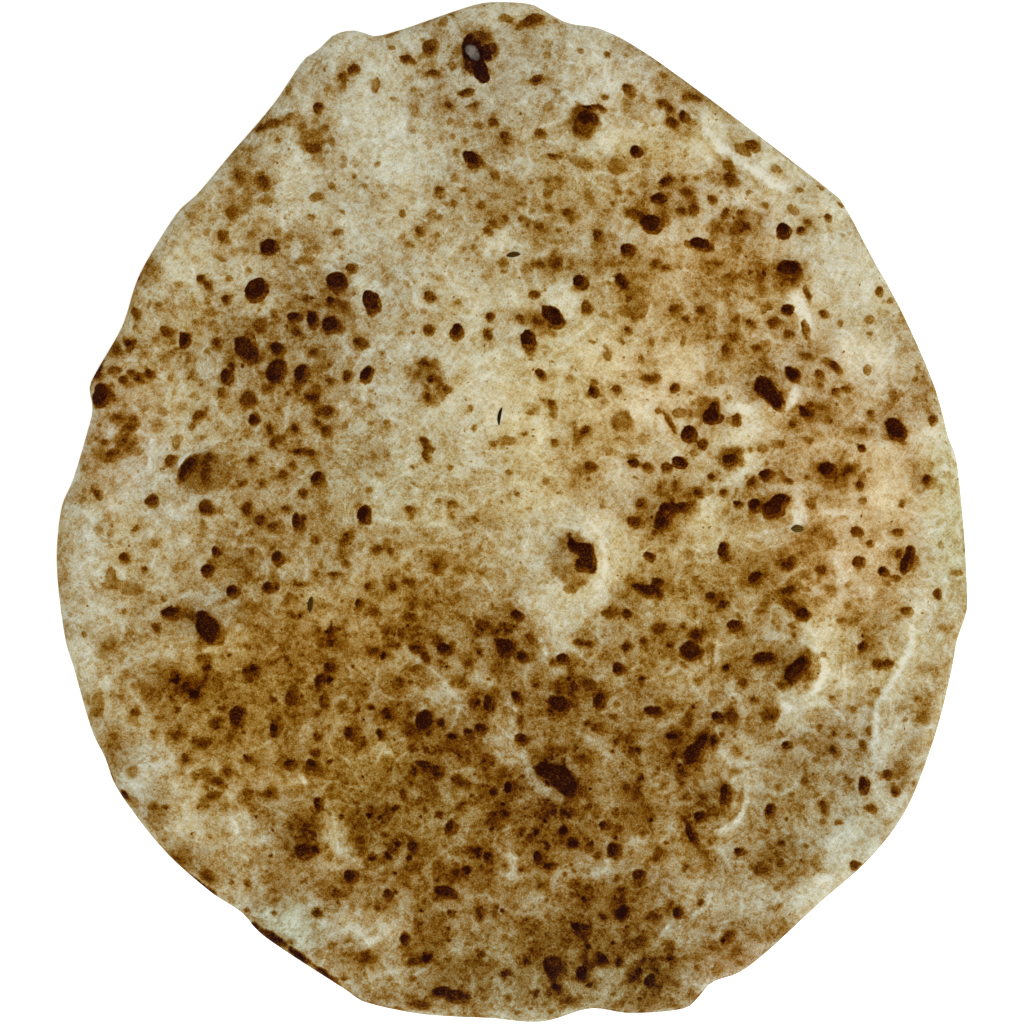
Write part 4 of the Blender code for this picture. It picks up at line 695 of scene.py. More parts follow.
def edge_by_angle():
    """The outline as sorted angles and the edge's distance from the origin at each."""
    curve = closed_curve(OUTLINE, CURVE_STEPS)
    low, high = curve.min(0), curve.max(0)
    curve = (curve - (low + high) / 2) * (WIDTH, LENGTH) / (high - low)
    angles = np.arctan2(curve[:, 1], curve[:, 0])
    order = np.argsort(angles)
    return angles[order], np.hypot(curve[:, 0], curve[:, 1])[order]


EDGE_ANGLES, EDGE_REACHES = edge_by_angle()


def edge_reach(angle):
    """How far the bread's edge is from its middle, in that direction."""
    return np.interp(angle, EDGE_ANGLES, EDGE_REACHES, period=math.tau)


def from_edge(x, y):
    """How far inside the bread's edge the places lie."""
    return edge_reach(np.arctan2(y, x)) - np.hypot(x, y)


def off_centre(x, y, shape):
    """0 at the middle of an elliptic shape and 1 on its border."""
    middle_x, middle_y, length, width, turn = shape[:5]
    c, s = math.cos(math.radians(turn)), math.sin(math.radians(turn))
    along = (x - middle_x) * c + (y - middle_y) * s
    across = (y - middle_y) * c - (x - middle_x) * s
    return np.hypot(2 * along / length, 2 * across / width)


def dome(distance):
    """1 at the middle, sinking to 0 at a distance of 1, with a soft foot."""
    return np.clip(1 - distance**2, 0, None) ** 2


def blister(distance):
    """Rounder than the dome, with a steeper side."""
    return np.clip(1 - distance**3, 0, None) ** 2


def plateau(distance):
    """1 well inside the border and 0 outside it, with a soft slope between."""
    share = np.clip((PLATEAU_FOOT - distance) / PLATEAU_SLOPE, 0, 1)
    return share * share * (3 - 2 * share)


def swelling(x, y, shape):
    """The height of a round swelling, or its depth below 0."""
    return shape[5] * dome(off_centre(x, y, shape))


def beside(x, y, points):
    """How far the places lie to the right of a line, and how far along it, from 0 to 1."""
    nearest, passed = np.full_like(x, np.inf), 0.0
    right, along = np.zeros_like(x), np.zeros_like(x)
    for start, end in zip(points, points[1:]):
        length = math.dist(start, end)
        step_x, step_y = (end[0] - start[0]) / length, (end[1] - start[1]) / length
        ahead = np.clip((x - start[0]) * step_x + (y - start[1]) * step_y, 0, length)
        off_x, off_y = x - start[0] - ahead * step_x, y - start[1] - ahead * step_y
        off = np.hypot(off_x, off_y)
        closer = off < nearest
        nearest = np.where(closer, off, nearest)
        right = np.where(closer, np.where(off_x * step_y > off_y * step_x, off, -off), right)
        along = np.where(closer, passed + ahead, along)
        passed += length
    return right, along / passed


def tapered(along):
    """1 in the middle of a line and less towards its two ends."""
    return np.clip(np.sin(math.pi * along), 0, 1) ** TAPER


def fold_height(x, y, points, width, rise):
    """The height of one fold, which is lower at its ends."""
    right, along = beside(x, y, points)
    strength = FOLD_ENDS + (1 - FOLD_ENDS) * tapered(along)
    return FOLD_SHARE * rise * strength * dome(right / width)


def unevenness(x, y, size, seed):
    """Smooth noise from about -1 to 1 with lumps of that size."""
    places = np.column_stack((x, y, np.zeros_like(x))) / size + np.array(seed)
    return np.array([noise.noise(Vector(place)) for place in places])


def layered(x, y, layers):
    """Unevenness of several sizes added up, each given by its size, strength and seed."""
    return sum(strength * unevenness(x, y, size, seed) for size, strength, seed in layers)


def warped(x, y):
    """The places moved a little, so that what is drawn there gets a ragged outline."""
    return x + layered(x, y, RAGS_X), y + layered(x, y, RAGS_Y)


def picture_place(x, y):
    """Where a point of the picture lies on the bread."""
    return (x - PICTURE / 2) * PIXEL, (PICTURE / 2 - y) * PIXEL


def on_bread(mark):
    """A mark's place and size in millimetres on the bread, from those on the picture."""
    x, y, length, width, turn = mark[:5]
    return (*picture_place(x, y), length * PIXEL, width * PIXEL, turn, *mark[5:])


def blister_height(x, y):
    """The height of the blisters under the marks, above the dough round them."""
    height = np.zeros_like(x)
    for marks, rise in BLISTERED:
        for mark in map(on_bread, marks):
            top = min(rise * mark[3], TALLEST_BLISTER)
            height = np.maximum(height, top * blister(off_centre(x, y, mark) / BLISTER_FOOT))
    return height


def top_height(x, y):
    """The height of the bread's top above the table."""
    edge = from_edge(x, y)
    height = DOUGH_THICKNESS + layered(x, y, WAVES)
    strength = 1 + layered(x, y, RIM_WAVES)
    height += RIM_RISE * strength * np.exp(-(((edge - RIM_MIDDLE) / RIM_SPREAD) ** 2))
    height += sum(swelling(x, y, puff) for puff in PUFFS)
    height += np.max([swelling(x, y, bubble) for bubble in BUBBLES], axis=0)
    height += swelling(x, y, BURST)
    ragged = warped(x, y)
    folds = np.max([fold_height(*ragged, *fold) for fold in FOLDS], axis=0)
    height += folds * (1 + layered(x, y, FOLD_WAVES))
    height += blister_height(*ragged)
    height += layered(x, y, CRUST_WAVES)
    depth = 1 - np.clip(edge / RIM_ROUNDING, 0, 1)
    return RIM_WAIST + (height - RIM_WAIST) * np.sqrt(1 - depth**2)


def face_place(u, v, inset):
    """Where the points of a square from -1 to 1 lie on the bread, that far inside its edge."""
    x, y = u * np.sqrt(1 - v * v / 2), v * np.sqrt(1 - u * u / 2)
    share, angle = np.hypot(x, y), np.arctan2(y, x)
    plain = WIDTH * LENGTH / 2 / np.hypot(LENGTH * np.cos(angle), WIDTH * np.sin(angle))
    reach = plain + (edge_reach(angle) - inset - plain) * share**2
    return share * reach * np.cos(angle), share * reach * np.sin(angle)


# ---------------------------------------------------------------------------------------
# The bread's mesh. It is first made flat over a square from -1 to 1, in levels one apart:
# the top at 0, one level for each row of the rim, and the underside at the last of them.
# ---------------------------------------------------------------------------------------
UNDERSIDE_CELLS = 96
TOP_CUTS = 2
UNDERSIDE_LEVEL = len(RIM_ROWS)
HALF_LEVEL = 0.5

# Hollows in the underside: their greatest depth, how much of it is there everywhere, how far
# from the rim it is reached, and their waves as size, strength and seed.
HOLLOW_DEPTH = 0.3
HOLLOW_SHARE = 0.35
HOLLOW_EDGE = 4
HOLLOWS = ((9, 1.0, (4, 4, 1)), (3.5, 0.5, (1, 9, 1)))


def finished_mesh(bm, name):
    """The modelled form as a mesh of that name."""
    mesh = bpy.data.meshes.new(name)
    bm.to_mesh(mesh)
    bm.free()
    return mesh


def put_in_scene(name, data):
    """A new object at the origin for that mesh, lamp or camera."""
    thing = bpy.data.objects.new(name, data)
    bpy.context.scene.collection.objects.link(thing)
    return thing


def flat_levels():
    """The bread's mesh while it is flat, with a finer top than underside."""
    bm = bmesh.new()
    bmesh.ops.create_grid(bm, x_segments=UNDERSIDE_CELLS, y_segments=UNDERSIDE_CELLS, size=1)
    top_edges, border = list(bm.edges), [edge for edge in bm.edges if edge.is_boundary]
    copy = bmesh.ops.duplicate(bm, geom=bm.faces[:])["geom"]
    under = [item for item in copy if isinstance(item, bmesh.types.BMVert)]
    bmesh.ops.translate(bm, vec=(0, 0, UNDERSIDE_LEVEL), verts=under)
    for _ in RIM_ROWS:
        grown = bmesh.ops.extrude_edge_only(bm, edges=border)["geom"]
        row = [item for item in grown if isinstance(item, bmesh.types.BMVert)]
        bmesh.ops.translate(bm, vec=(0, 0, 1), verts=row)
        border = [item for item in grown if isinstance(item, bmesh.types.BMEdge)]
    bmesh.ops.remove_doubles(bm, verts=row + under, dist=0.001)
    bmesh.ops.subdivide_edges(bm, edges=top_edges, cuts=TOP_CUTS, use_grid_fill=True)
    bmesh.ops.triangulate(bm, faces=bm.faces[:])
    bmesh.ops.recalc_face_normals(bm, faces=bm.faces[:])
    return finished_mesh(bm, "naan")


def underside_height(x, y):
    """Shallow hollows in the underside, which end before its rim."""
    inward = np.clip((from_edge(x, y) - RIM_ROWS[-1][0]) / HOLLOW_EDGE, 0, 1)
    hollow = HOLLOW_SHARE + layered(x, y, HOLLOWS)
    return HOLLOW_DEPTH * inward * np.clip(hollow, 0, None)


def shape_levels(mesh):
    """Gives every point its place on the bread, and returns the places in millimetres."""
    flat = np.empty(len(mesh.vertices) * 3)
    mesh.vertices.foreach_get("co", flat)
    flat = flat.reshape(-1, 3)
    u, v, level = flat.T
    place = np.empty_like(flat)
    place[:, 0], place[:, 1] = face_place(u, v, FACE_INSET)
    top = level < HALF_LEVEL
    place[top, 2] = top_height(place[top, 0], place[top, 1])
    angle = np.arctan2(place[:, 1], place[:, 0])
    share = 1.0
    for row, (inset, part) in enumerate(RIM_ROWS[:-1], 1):
        here = np.abs(level - row) < HALF_LEVEL
        share *= part
        cosine, sine, edge = np.cos(angle[here]), np.sin(angle[here]), edge_reach(angle[here])
        waist = top_height((edge - FACE_INSET) * cosine, (edge - FACE_INSET) * sine)
        place[here, 0], place[here, 1] = (edge - inset) * cosine, (edge - inset) * sine
        place[here, 2] = share * waist
    under = level > UNDERSIDE_LEVEL - HALF_LEVEL
    x, y = face_place(u[under], v[under], RIM_ROWS[-1][0])
    place[under] = np.column_stack((x, y, underside_height(x, y)))
    mesh.vertices.foreach_set("co", (place * MM).ravel())
    mesh.update()
    return place, under


# ---------------------------------------------------------------------------------------
# Browning, kept with the mesh as values for its materials: how done the crust is, how
# golden and how ruddy, how far inside each kind of mark a point lies in millimetres, and
# where it lies against the nearest crease.
# ---------------------------------------------------------------------------------------
FAR_OUT = -6.0  # outside every mark
NARROWEST_MARK = 0.8
CREASE_REACH = 5  # half widths
NO_CREASE = 9.0

# What is drawn from the outline of a mark: the char itself, the burnt skirt and lit side
# round it, and the browned halo round a burnt mark, each with how far it is shifted to the
# near right and how much wider it is. Shifting the char to the far left and the skirt and
# halo to the near right, towards the lamp, is partly the marks' own form and partly painted
# shade on their far side and painted light on their near side.
CHAR = (-0.15, -0.25)
SKIRT = (0.45, 0.9)
LIT = (-0.35, 1.3)
HALO = (0.35, 0.9)

# The burst bubble's pale floor and its charred border, as marks on the picture.
BURST_FLOOR = ((472, 53, 15, 11, -35), (475, 57, 13, 10, -60))
BURST_CHAR = (
    (474, 53, 27, 21, -55), (480, 70, 28, 15, -75), (469, 42, 14, 10, 60), (487, 54, 18, 10, -70),
    (466, 51, 20, 8, 85), (484, 79, 12, 10, 0),
)

# The very edge: how wide it is, how much of it is darkened and in what waves, how much darker
# that part is, and how much paler all of it is. The darker patches are partly scorching and
# partly painted shade where the rim rounds away.
EDGE_WIDTH = 1.1
EDGE_SHARE = 0.30
EDGE_WAVES = ((16, 1.5, (3, 3, 8)),)
EDGE_SCORCH_AND_SHADE = 0.30
EDGE_PALENESS = 0.10

# The underside: how much more done it is, its waves as size, strength and seed, and its
# marks as how many, the smallest and the largest.
UNDERSIDE_DONENESS = 0.06
UNDERSIDE_WAVES = {
    "doneness": (24, 0.12, (6, 2, 2)),
    "goldenness": (40, 0.6, (2, 9, 2)),
    "ruddiness": (50, 0.5, (3, 1, 2)),
}
UNDERSIDE_MARKS = {
    "charred": (26, 2.0, 4.5),
    "burnt": (120, 2.0, 5.5),
    "browned": (240, 2.5, 9.0),
}
UNDERSIDE_SEED = 41
MARK_ROUNDNESS = (0.6, 0.95)


def stretches_at(x, y, stretches):
    """The changes of all the stretches in which the points lie, added up."""
    change = np.zeros_like(x)
    for stretch in map(on_bread, stretches):
        change += stretch[5] * plateau(off_centre(x, y, stretch))
    return change


def inside_marks(x, y, marks):
    """How far inside one of the marks the points lie; less than 0 outside them all."""
    inside = np.full_like(x, FAR_OUT)
    for mark in marks:
        inside = np.maximum(inside, (1 - off_centre(x, y, mark)) * mark[3] / 2)
    return inside


def inside_moved(x, y, marks, shift, widening):
    """The same for the marks once they are shifted to the near right and made wider."""
    wide = [
        (*mark[:2], mark[2] + widening, max(mark[3] + widening, NARROWEST_MARK), mark[4])
        for mark in marks
    ]
    return inside_marks(x - shift, y + shift, wide)


def creases(x, y):
    """The nearest crease: how many half widths to its right the points lie, and its looks."""
    off, pale, shade = np.full_like(x, NO_CREASE), np.zeros_like(x), np.zeros_like(x)
    # The paler strand is partly a painted highlight, and the darker strip beside it is a painted
    # shadow.
    for points, width, paler, painted_shadow in CREASES:
        right, along = beside(x, y, [picture_place(*point) for point in points])
        here = right / (width * PIXEL / 2)
        closer = np.abs(here) < np.abs(off)
        strength = tapered(along) * (np.abs(here) < CREASE_REACH)
        off = np.where(closer, here, off)
        pale = np.where(closer, paler * strength, pale)
        shade = np.where(closer, painted_shadow * strength, shade)
    return {"off_crease": off, "crease": pale, "crease_shade": shade}


def scorched_and_shaded_edge(x, y):
    """Patches of darker crust along the very edge, partly scorching and partly painted shade,
    which is paler elsewhere.
    """
    patches = np.clip(EDGE_SHARE + layered(x, y, EDGE_WAVES), 0, 1)
    change = EDGE_SCORCH_AND_SHADE * patches - EDGE_PALENESS
    return change * np.clip(1 - from_edge(x, y) / EDGE_WIDTH, 0, 1)


def browning(x, y):
    """The values of the bread's top and rim, by their names."""
    ragged = warped(x, y)
    charred, burnt, browned, clouded, burst_floor, burst_char = (
        [on_bread(mark) for mark in marks]
        for marks in (CHARRED, BURNT, BROWNED, CLOUDED, BURST_FLOOR, BURST_CHAR)
    )
    # The char sits to the far left and its skirt and the halos to the near right: partly the
    # marks' own form, partly painted shade and painted light.
    skirt, halo = inside_moved(*ragged, charred, *SKIRT), inside_moved(*ragged, burnt, *HALO)
    return {
        "doneness": PLAIN_DONENESS + stretches_at(*ragged, ZONES) + scorched_and_shaded_edge(x, y),
        "goldenness": stretches_at(*ragged, GOLDEN),
        "ruddiness": stretches_at(*ragged, RUDDY),
        "charred": inside_moved(*ragged, charred, *CHAR),
        "burnt": np.maximum(inside_marks(*ragged, burnt), skirt),
        "browned": np.maximum(inside_marks(*ragged, browned), halo),
        "clouded": inside_marks(*ragged, clouded),
        "lit": inside_moved(*ragged, charred, *LIT),
        "burst_floor": inside_marks(*ragged, burst_floor),
        "burst_char": inside_marks(*ragged, burst_char),
        **creases(*ragged),
    }


def scattered_marks(rng, count, smallest, largest):
    """Marks of chance sizes anywhere over the bread."""
    marks = []
    for _ in range(count):
        size = rng.uniform(smallest, largest)
        place = (rng.uniform(-0.5, 0.5) * WIDTH, rng.uniform(-0.5, 0.5) * LENGTH)
        marks.append((*place, size, size * rng.uniform(*MARK_ROUNDNESS), rng.uniform(0, 180)))
    return marks


def underside_browning(x, y):
    """The same values for the side that lay on the hot wall, with round scorch marks."""
    rng = random.Random(UNDERSIDE_SEED)
    ragged = warped(x, y)
    values = {name: layered(x, y, [wave]) for name, wave in UNDERSIDE_WAVES.items()}
    values["doneness"] += PLAIN_DONENESS + UNDERSIDE_DONENESS
    for name, marks in UNDERSIDE_MARKS.items():
        values[name] = inside_marks(*ragged, scattered_marks(rng, *marks))
    for name in ("clouded", "lit", "burst_floor", "burst_char"):
        values[name] = np.full_like(x, FAR_OUT)
    values["off_crease"] = np.full_like(x, NO_CREASE)
    values["crease"] = values["crease_shade"] = np.zeros_like(x)
    return values


def keep_values(mesh, place, under):
    """Keeps every value with the mesh, as an attribute of its points."""
    above = browning(place[:, 0], place[:, 1])
    below = underside_browning(place[under, 0], place[under, 1])
    for name, values in above.items():
        values[under] = below[name]
        attribute = mesh.attributes.new(name, "FLOAT", "POINT")
        attribute.data.foreach_set("value", values.astype(np.float32))


# ---------------------------------------------------------------------------------------
# Materials
# ---------------------------------------------------------------------------------------
# How much brighter the studio is than the light in which the colours below were judged.
STUDIO = 1.20
NOISE_STEP = (11.3, 17.9, 5.7)  # how far each noise is moved from the last
MIX_FIRST, MIX_SECOND, MIX_RESULT = 6, 7, 2  # the colour sockets of a mix node


def linear(colour):
    """A colour given in 0 to 255, as light."""
    parts = [part / 255 for part in colour]
    parts = [p / 12.92 if p <= 0.04045 else ((p + 0.055) / 1.055) ** 2.4 for p in parts]
    return (*[part / STUDIO for part in parts], 1.0)


class Recipe:
    """A material to which nodes are added. Their values are numbers or other nodes' sockets."""

    def __init__(self, name):
        self.material = bpy.data.materials.new(name)
        self.material.use_nodes = True
        self.nodes = self.material.node_tree.nodes
        self.links = self.material.node_tree.links
        self.shader = self.nodes["Principled BSDF"]
        self.place = self.nodes.new("ShaderNodeTexCoord").outputs["Object"]
        self.noises = 0

    def put(self, value, socket):
        """Links the value to the socket, or sets the socket to it."""
        if isinstance(value, bpy.types.NodeSocket):
            self.links.new(value, socket)
        else:
            socket.default_value = value

    def math(self, operation, *values, clamp=False):
        node = self.nodes.new("ShaderNodeMath")
        node.operation, node.use_clamp = operation, clamp
        for value, socket in zip(values, node.inputs):
            self.put(value, socket)
        return node.outputs[0]

    def vector_math(self, operation, *values):
        node = self.nodes.new("ShaderNodeVectorMath")
        node.operation = operation
        for value, socket in zip(values, node.inputs):
            self.put(value, socket)
        return node.outputs[0]

    def times(self, value, factor):
        return self.math("MULTIPLY", value, factor)

    def times_plus(self, value, factor, addend):
        return self.math("MULTIPLY_ADD", value, factor, addend)

    def clamped(self, value):
        """The value kept between 0 and 1."""
        return self.math("ADD", value, 0.0, clamp=True)

    def step(self, value, start, end, low=0.0, high=1.0):
        """Goes softly from low to high while the value goes from start to end."""
        node = self.nodes.new("ShaderNodeMapRange")
        node.interpolation_type = "SMOOTHSTEP"
        for socket, part in zip(node.inputs, (value, start, end, low, high)):
            self.put(part, socket)
        return node.outputs["Result"]

    def value_of(self, name):
        """A value that is kept with the mesh."""
        node = self.nodes.new("ShaderNodeAttribute")
        node.attribute_name = name
        return node.outputs["Fac"]

    def noise_node(self, size, detail, roughness, place):
        """Noise with lumps of that size in millimetres, moved so that no two line up."""
        self.noises += 1
        move = [part * self.noises * MM for part in NOISE_STEP]
        node = self.nodes.new("ShaderNodeTexNoise")
        self.put(self.vector_math("ADD", place, move), node.inputs["Vector"])
        node.inputs["Scale"].default_value = 1 / (size * MM)
        node.inputs["Detail"].default_value = detail
        node.inputs["Roughness"].default_value = roughness
        return node

    def lumps(self, size, detail=2.0, roughness=0.5, place=None):
        """Such noise as a value from -0.5 to 0.5."""
        node = self.noise_node(size, detail, roughness, place or self.place)
        return self.math("SUBTRACT", node.outputs["Fac"], 0.5)

    def shaken(self, size, reach):
        """The place moved about by up to the reach, by noise of that size."""
        push = self.noise_node(size, 1.0, 0.5, self.place).outputs["Color"]
        return self.vector_math("MULTIPLY_ADD", push, (reach * MM,) * 3, self.place)

    def strands(self, width, length, turn, drawn):
        """Noise drawn out into strands that wander with the stretched dough."""
        swing = self.nodes.new("ShaderNodeVectorRotate")
        swing.rotation_type = "Z_AXIS"
        swing.inputs["Angle"].default_value = math.radians(turn)
        self.put(drawn, swing.inputs["Vector"])
        stretch = self.vector_math("MULTIPLY", swing.outputs[0], (length / width, 1.0, 1.0))
        return self.lumps(length, 0.0, 0.5, stretch)

    def cells(self, size, place):
        """Distance to the middle of the nearest of scattered cells, and its two chances."""
        node = self.nodes.new("ShaderNodeTexVoronoi")
        self.put(place, node.inputs["Vector"])
        node.inputs["Scale"].default_value = 1 / (size * MM)
        split = self.nodes.new("ShaderNodeSeparateColor")
        self.links.new(node.outputs["Color"], split.inputs["Color"])
        return node.outputs["Distance"], split.outputs["Red"], split.outputs["Green"]

    def ramp(self, value, stops):
        """The colour at that value, between stops of a position and a colour in 0 to 255."""
        node = self.nodes.new("ShaderNodeValToRGB")
        elements = node.color_ramp.elements
        while len(elements) < len(stops):
            elements.new(1.0)
        for element, (position, colour) in zip(elements, stops):
            element.position, element.color = position, linear(colour)
        self.put(value, node.inputs["Fac"])
        return node.outputs["Color"]

    def mix(self, share, first, second):
        """The first colour where the share is 0 and the second where it is 1."""
        node = self.nodes.new("ShaderNodeMix")
        node.data_type = "RGBA"
        self.put(share, node.inputs["Factor"])
        self.put(first, node.inputs[MIX_FIRST])
        self.put(second, node.inputs[MIX_SECOND])
        return node.outputs[MIX_RESULT]

    def bump(self, height, distance, strength):
        """Fine relief, with a height of 1 standing that many millimetres high."""
        node = self.nodes.new("ShaderNodeBump")
        self.put(height, node.inputs["Height"])
        node.inputs["Distance"].default_value = distance * MM
        node.inputs["Strength"].default_value = strength
        self.links.new(node.outputs["Normal"], self.shader.inputs["Normal"])


DONENESS_COLOURS = (
    (0.00, (229, 221, 192)), (0.10, (213, 205, 171)), (0.22, (196, 184, 145)),
    (0.36, (175, 153, 105)), (0.50, (153, 121, 64)), (0.62, (132, 93, 26)),
    (0.74, (109, 65, 4)), (0.86, (80, 37, 1)), (1.00, (35, 8, 1)),
)
GOLDEN_SHIFT = 20
LEAST_GOLDEN, LEAST_GREY = 0.40, 0.55  # the share of the shift that the darkest colours keep
RUDDY_TINTS = ((0.963, 1.045, 1.02, 1), (1.037, 0.955, 0.98, 1))
ASH = ((0.0, (70, 60, 50)), (0.6, (122, 112, 101)), (1.0, (150, 140, 128)))
CRUST_SHEEN = 0.015

# Patterns in the crust, as size in millimetres, detail and roughness.
MOTTLE = (3.4, 1.0, 0.6)
FLECK = (1.4, 1.0, 0.6)
GRAIN = (0.7, 2.0, 0.9)
SAND = (0.36, 0.0, 0.5)
GOLDEN_PATCHES = (4.0, 3.0, 0.8)
CLOUD_SIZE = 7.0
VEIN_SIZE = 8.0
STRANDS = ((0.5, 4.5, 35), (0.45, 3.5, -50))  # width, length, turn in degrees
DRAWN = (24.0, 18.0)  # how the dough is drawn about: size and reach
SHAKEN = (2.4, 1.8)

SPOT_CELLS = (6.5, 3.8)
SPOT_RADII = (0.07, 0.32)  # of the cell: the least radius, and what chance adds
SPOT_DEPTH = 0.42
SPECK_CELL = 1.7
SPECK_RADII = (0.07, 0.32)  # in millimetres, likewise

# How each kind of mark shows: where its border starts and ends, in millimetres inside it,
# how done it is, how patchy it is, and how much its halo adds.
MARK_LOOKS = {
    "clouded": (-1.9, 1.9, 0.50, 0.80, 0.0),
    "browned": (-0.45, 0.55, 0.60, 0.50, 0.05),
    "burnt": (-0.40, 0.48, 0.825, 0.40, 0.06),
    "charred": (-0.28, 0.38, 0.975, 0.20, 0.0),
    "burst_char": (-0.45, 0.35, 1.0, 0.15, 0.0),
}


def shifted(stops, shift):
    """The colours made more golden, or greyer where the shift is below 0."""
    least = LEAST_GOLDEN if shift > 0 else LEAST_GREY
    result = []
    for position, (red, green, blue) in stops:
        strength = shift * min(max((green - 60) / 80, least), 1.0)
        result.append((position, (red + 0.35 * strength, green, max(blue - 0.65 * strength, 1))))
    return result


def toasted_spots(crust, place, size, zone, border):
    """Round toasted spots with a dark core, each in a cell of that size in millimetres."""
    distance, chance, other_chance = crust.cells(size, place)
    least, more = (share * size for share in SPOT_RADII)
    radius = crust.times_plus(crust.times(chance, chance), more, least)
    away = crust.times_plus(distance, size, crust.times(border, 0.5))
    share = crust.step(away, crust.times(radius, 1.5), crust.times(radius, 0.4))
    strength = crust.times_plus(other_chance, 0.7, 0.3)
    strength = crust.times(strength, crust.step(zone, 0.08, 0.55, 0.3 * SPOT_DEPTH, SPOT_DEPTH))
    return crust.times(share, strength)


def grey_specks(crust, place, zone):
    """Tiny dark specks in pale dough."""
    distance, chance, other_chance = crust.cells(SPECK_CELL, place)
    least, more = SPECK_RADII
    inside = crust.times_plus(distance, -SPECK_CELL, crust.times_plus(chance, more, least))
    often = crust.step(other_chance, 0.55, 1.0)
    strength = crust.times(often, crust.step(zone, 0.15, 0.5, 0.45, 0.15))
    return crust.times(crust.step(inside, -0.10, 0.12), strength)


def crust_browning(crust, drawn, mottle, fleck, border):
    """How done the crust is where the fire left no mark: pale dough under toasted spots."""
    zone = crust.value_of("doneness")
    place = crust.shaken(*SHAKEN)
    unrest = crust.times(crust.lumps(CLOUD_SIZE, 0.0, place=drawn), 0.28)
    unrest = crust.times_plus(mottle, 0.26, unrest)
    unrest = crust.times_plus(fleck, 0.15, unrest)
    vein = crust.step(crust.math("ABSOLUTE", crust.lumps(VEIN_SIZE, 0.0, place=drawn)), 0.08, 0.0)
    unrest = crust.times_plus(vein, -0.10, unrest)
    done = crust.times_plus(zone, 0.95, -0.008)
    done = crust.times_plus(unrest, crust.step(zone, 0.05, 0.60, 0.55, 1.10), done)
    large, small = (toasted_spots(crust, place, size, zone, border) for size in SPOT_CELLS)
    spots = crust.math("MAXIMUM", large, small)
    done = crust.math("ADD", done, spots)
    blotch = crust.step(crust.times_plus(mottle, 0.5, fleck), -0.02, 0.16)
    done = crust.times_plus(blotch, crust.step(zone, 0.05, 0.55, 0.07, 0.09), done)
    return crust.math("ADD", done, grey_specks(crust, place, zone)), spots


def crust_marks(crust, done, mottle, fleck, border):
    """Adds the marks of the fire, each kind darker than the last, crisper in pale dough."""
    ragged = crust.times_plus(mottle, 2.6, border)
    patchy = crust.times_plus(mottle, 1.1, crust.times(fleck, 0.35))
    lit = crust.step(crust.math("ADD", crust.value_of("lit"), border), -0.3, 0.4)
    done = crust.times_plus(lit, -0.08, done)
    softness = crust.step(crust.value_of("doneness"), 0.22, 0.48, 0.60, 1.10)
    for name, (start, end, depth, patchiness, halo) in MARK_LOOKS.items():
        inside = crust.math("ADD", crust.value_of(name), ragged if name == "clouded" else border)
        if halo:
            done = crust.times_plus(crust.step(inside, -2.0, 0.2), halo, done)
        level = crust.times_plus(patchy, patchiness, depth)
        gain = crust.math("MAXIMUM", crust.math("SUBTRACT", level, done), 0.0)
        share = crust.step(inside, crust.times(softness, start), crust.times(softness, end))
        done = crust.times_plus(share, gain, done)
    return done


def crust_creases(crust, done, fleck):
    """Adds the creases: a paler strand, partly a painted highlight, with a painted shadow as a
    darker strip along its right side.
    """
    off = crust.times_plus(fleck, 0.6, crust.value_of("off_crease"))
    strand = crust.step(crust.math("ABSOLUTE", off), 1.7, 0.1)
    shadow_strip = crust.step(crust.math("ABSOLUTE", crust.math("SUBTRACT", off, 1.9)), 1.3, 0.0)
    paler = crust.times(strand, crust.value_of("crease"))
    painted_shadow = crust.times(shadow_strip, crust.value_of("crease_shade"))
    done = crust.math("SUBTRACT", crust.math("ADD", done, painted_shadow), paler)
    return done, crust.math("SUBTRACT", paler, painted_shadow)


def crust_texture(crust, done, drawn, grain):
    """Adds the sandy grain and the fine strands, which show most in pale dough."""
    toast = crust.step(done, 0.15, 0.55, 0.75, 1.0)
    sand = crust.times_plus(crust.lumps(*SAND), 0.34, crust.times(grain, 0.47))
    done = crust.times_plus(sand, toast, done)
    strands = crust.math("ADD", *(crust.strands(*strand, drawn) for strand in STRANDS))
    done = crust.times_plus(strands, crust.step(toast, 0.75, 1.0, 0.14, 0.04), done)
    return done, strands


def crust_colour(crust, done, fleck, grain):
    """The colour of crust that is so done, more golden or ruddier in places."""
    golden = crust.times_plus(crust.value_of("goldenness"), 0.5, 0.5)
    golden = crust.times_plus(crust.lumps(*GOLDEN_PATCHES), 1.1, golden)
    beyond = crust.times_plus(crust.value_of("doneness"), -0.95, done)
    golden = crust.times_plus(crust.step(beyond, -0.28, 0.28, -0.28, 0.28), 1.1, golden)
    colour = crust.mix(
        crust.clamped(golden),
        crust.ramp(done, shifted(DONENESS_COLOURS, -GOLDEN_SHIFT)),
        crust.ramp(done, shifted(DONENESS_COLOURS, GOLDEN_SHIFT)),
    )
    ruddy = crust.times(crust.value_of("ruddiness"), crust.step(done, 0.0, 0.20, 0.2, 1.0))
    tint = crust.mix(crust.step(ruddy, -1.0, 1.0), *RUDDY_TINTS)
    colour = crust.vector_math("MULTIPLY", colour, tint)
    floor = crust.step(crust.times_plus(grain, 1.2, crust.value_of("burst_floor")), -0.1, 0.5)
    return crust.mix(floor, colour, crust.ramp(crust.times_plus(fleck, 1.6, 0.5), ASH))


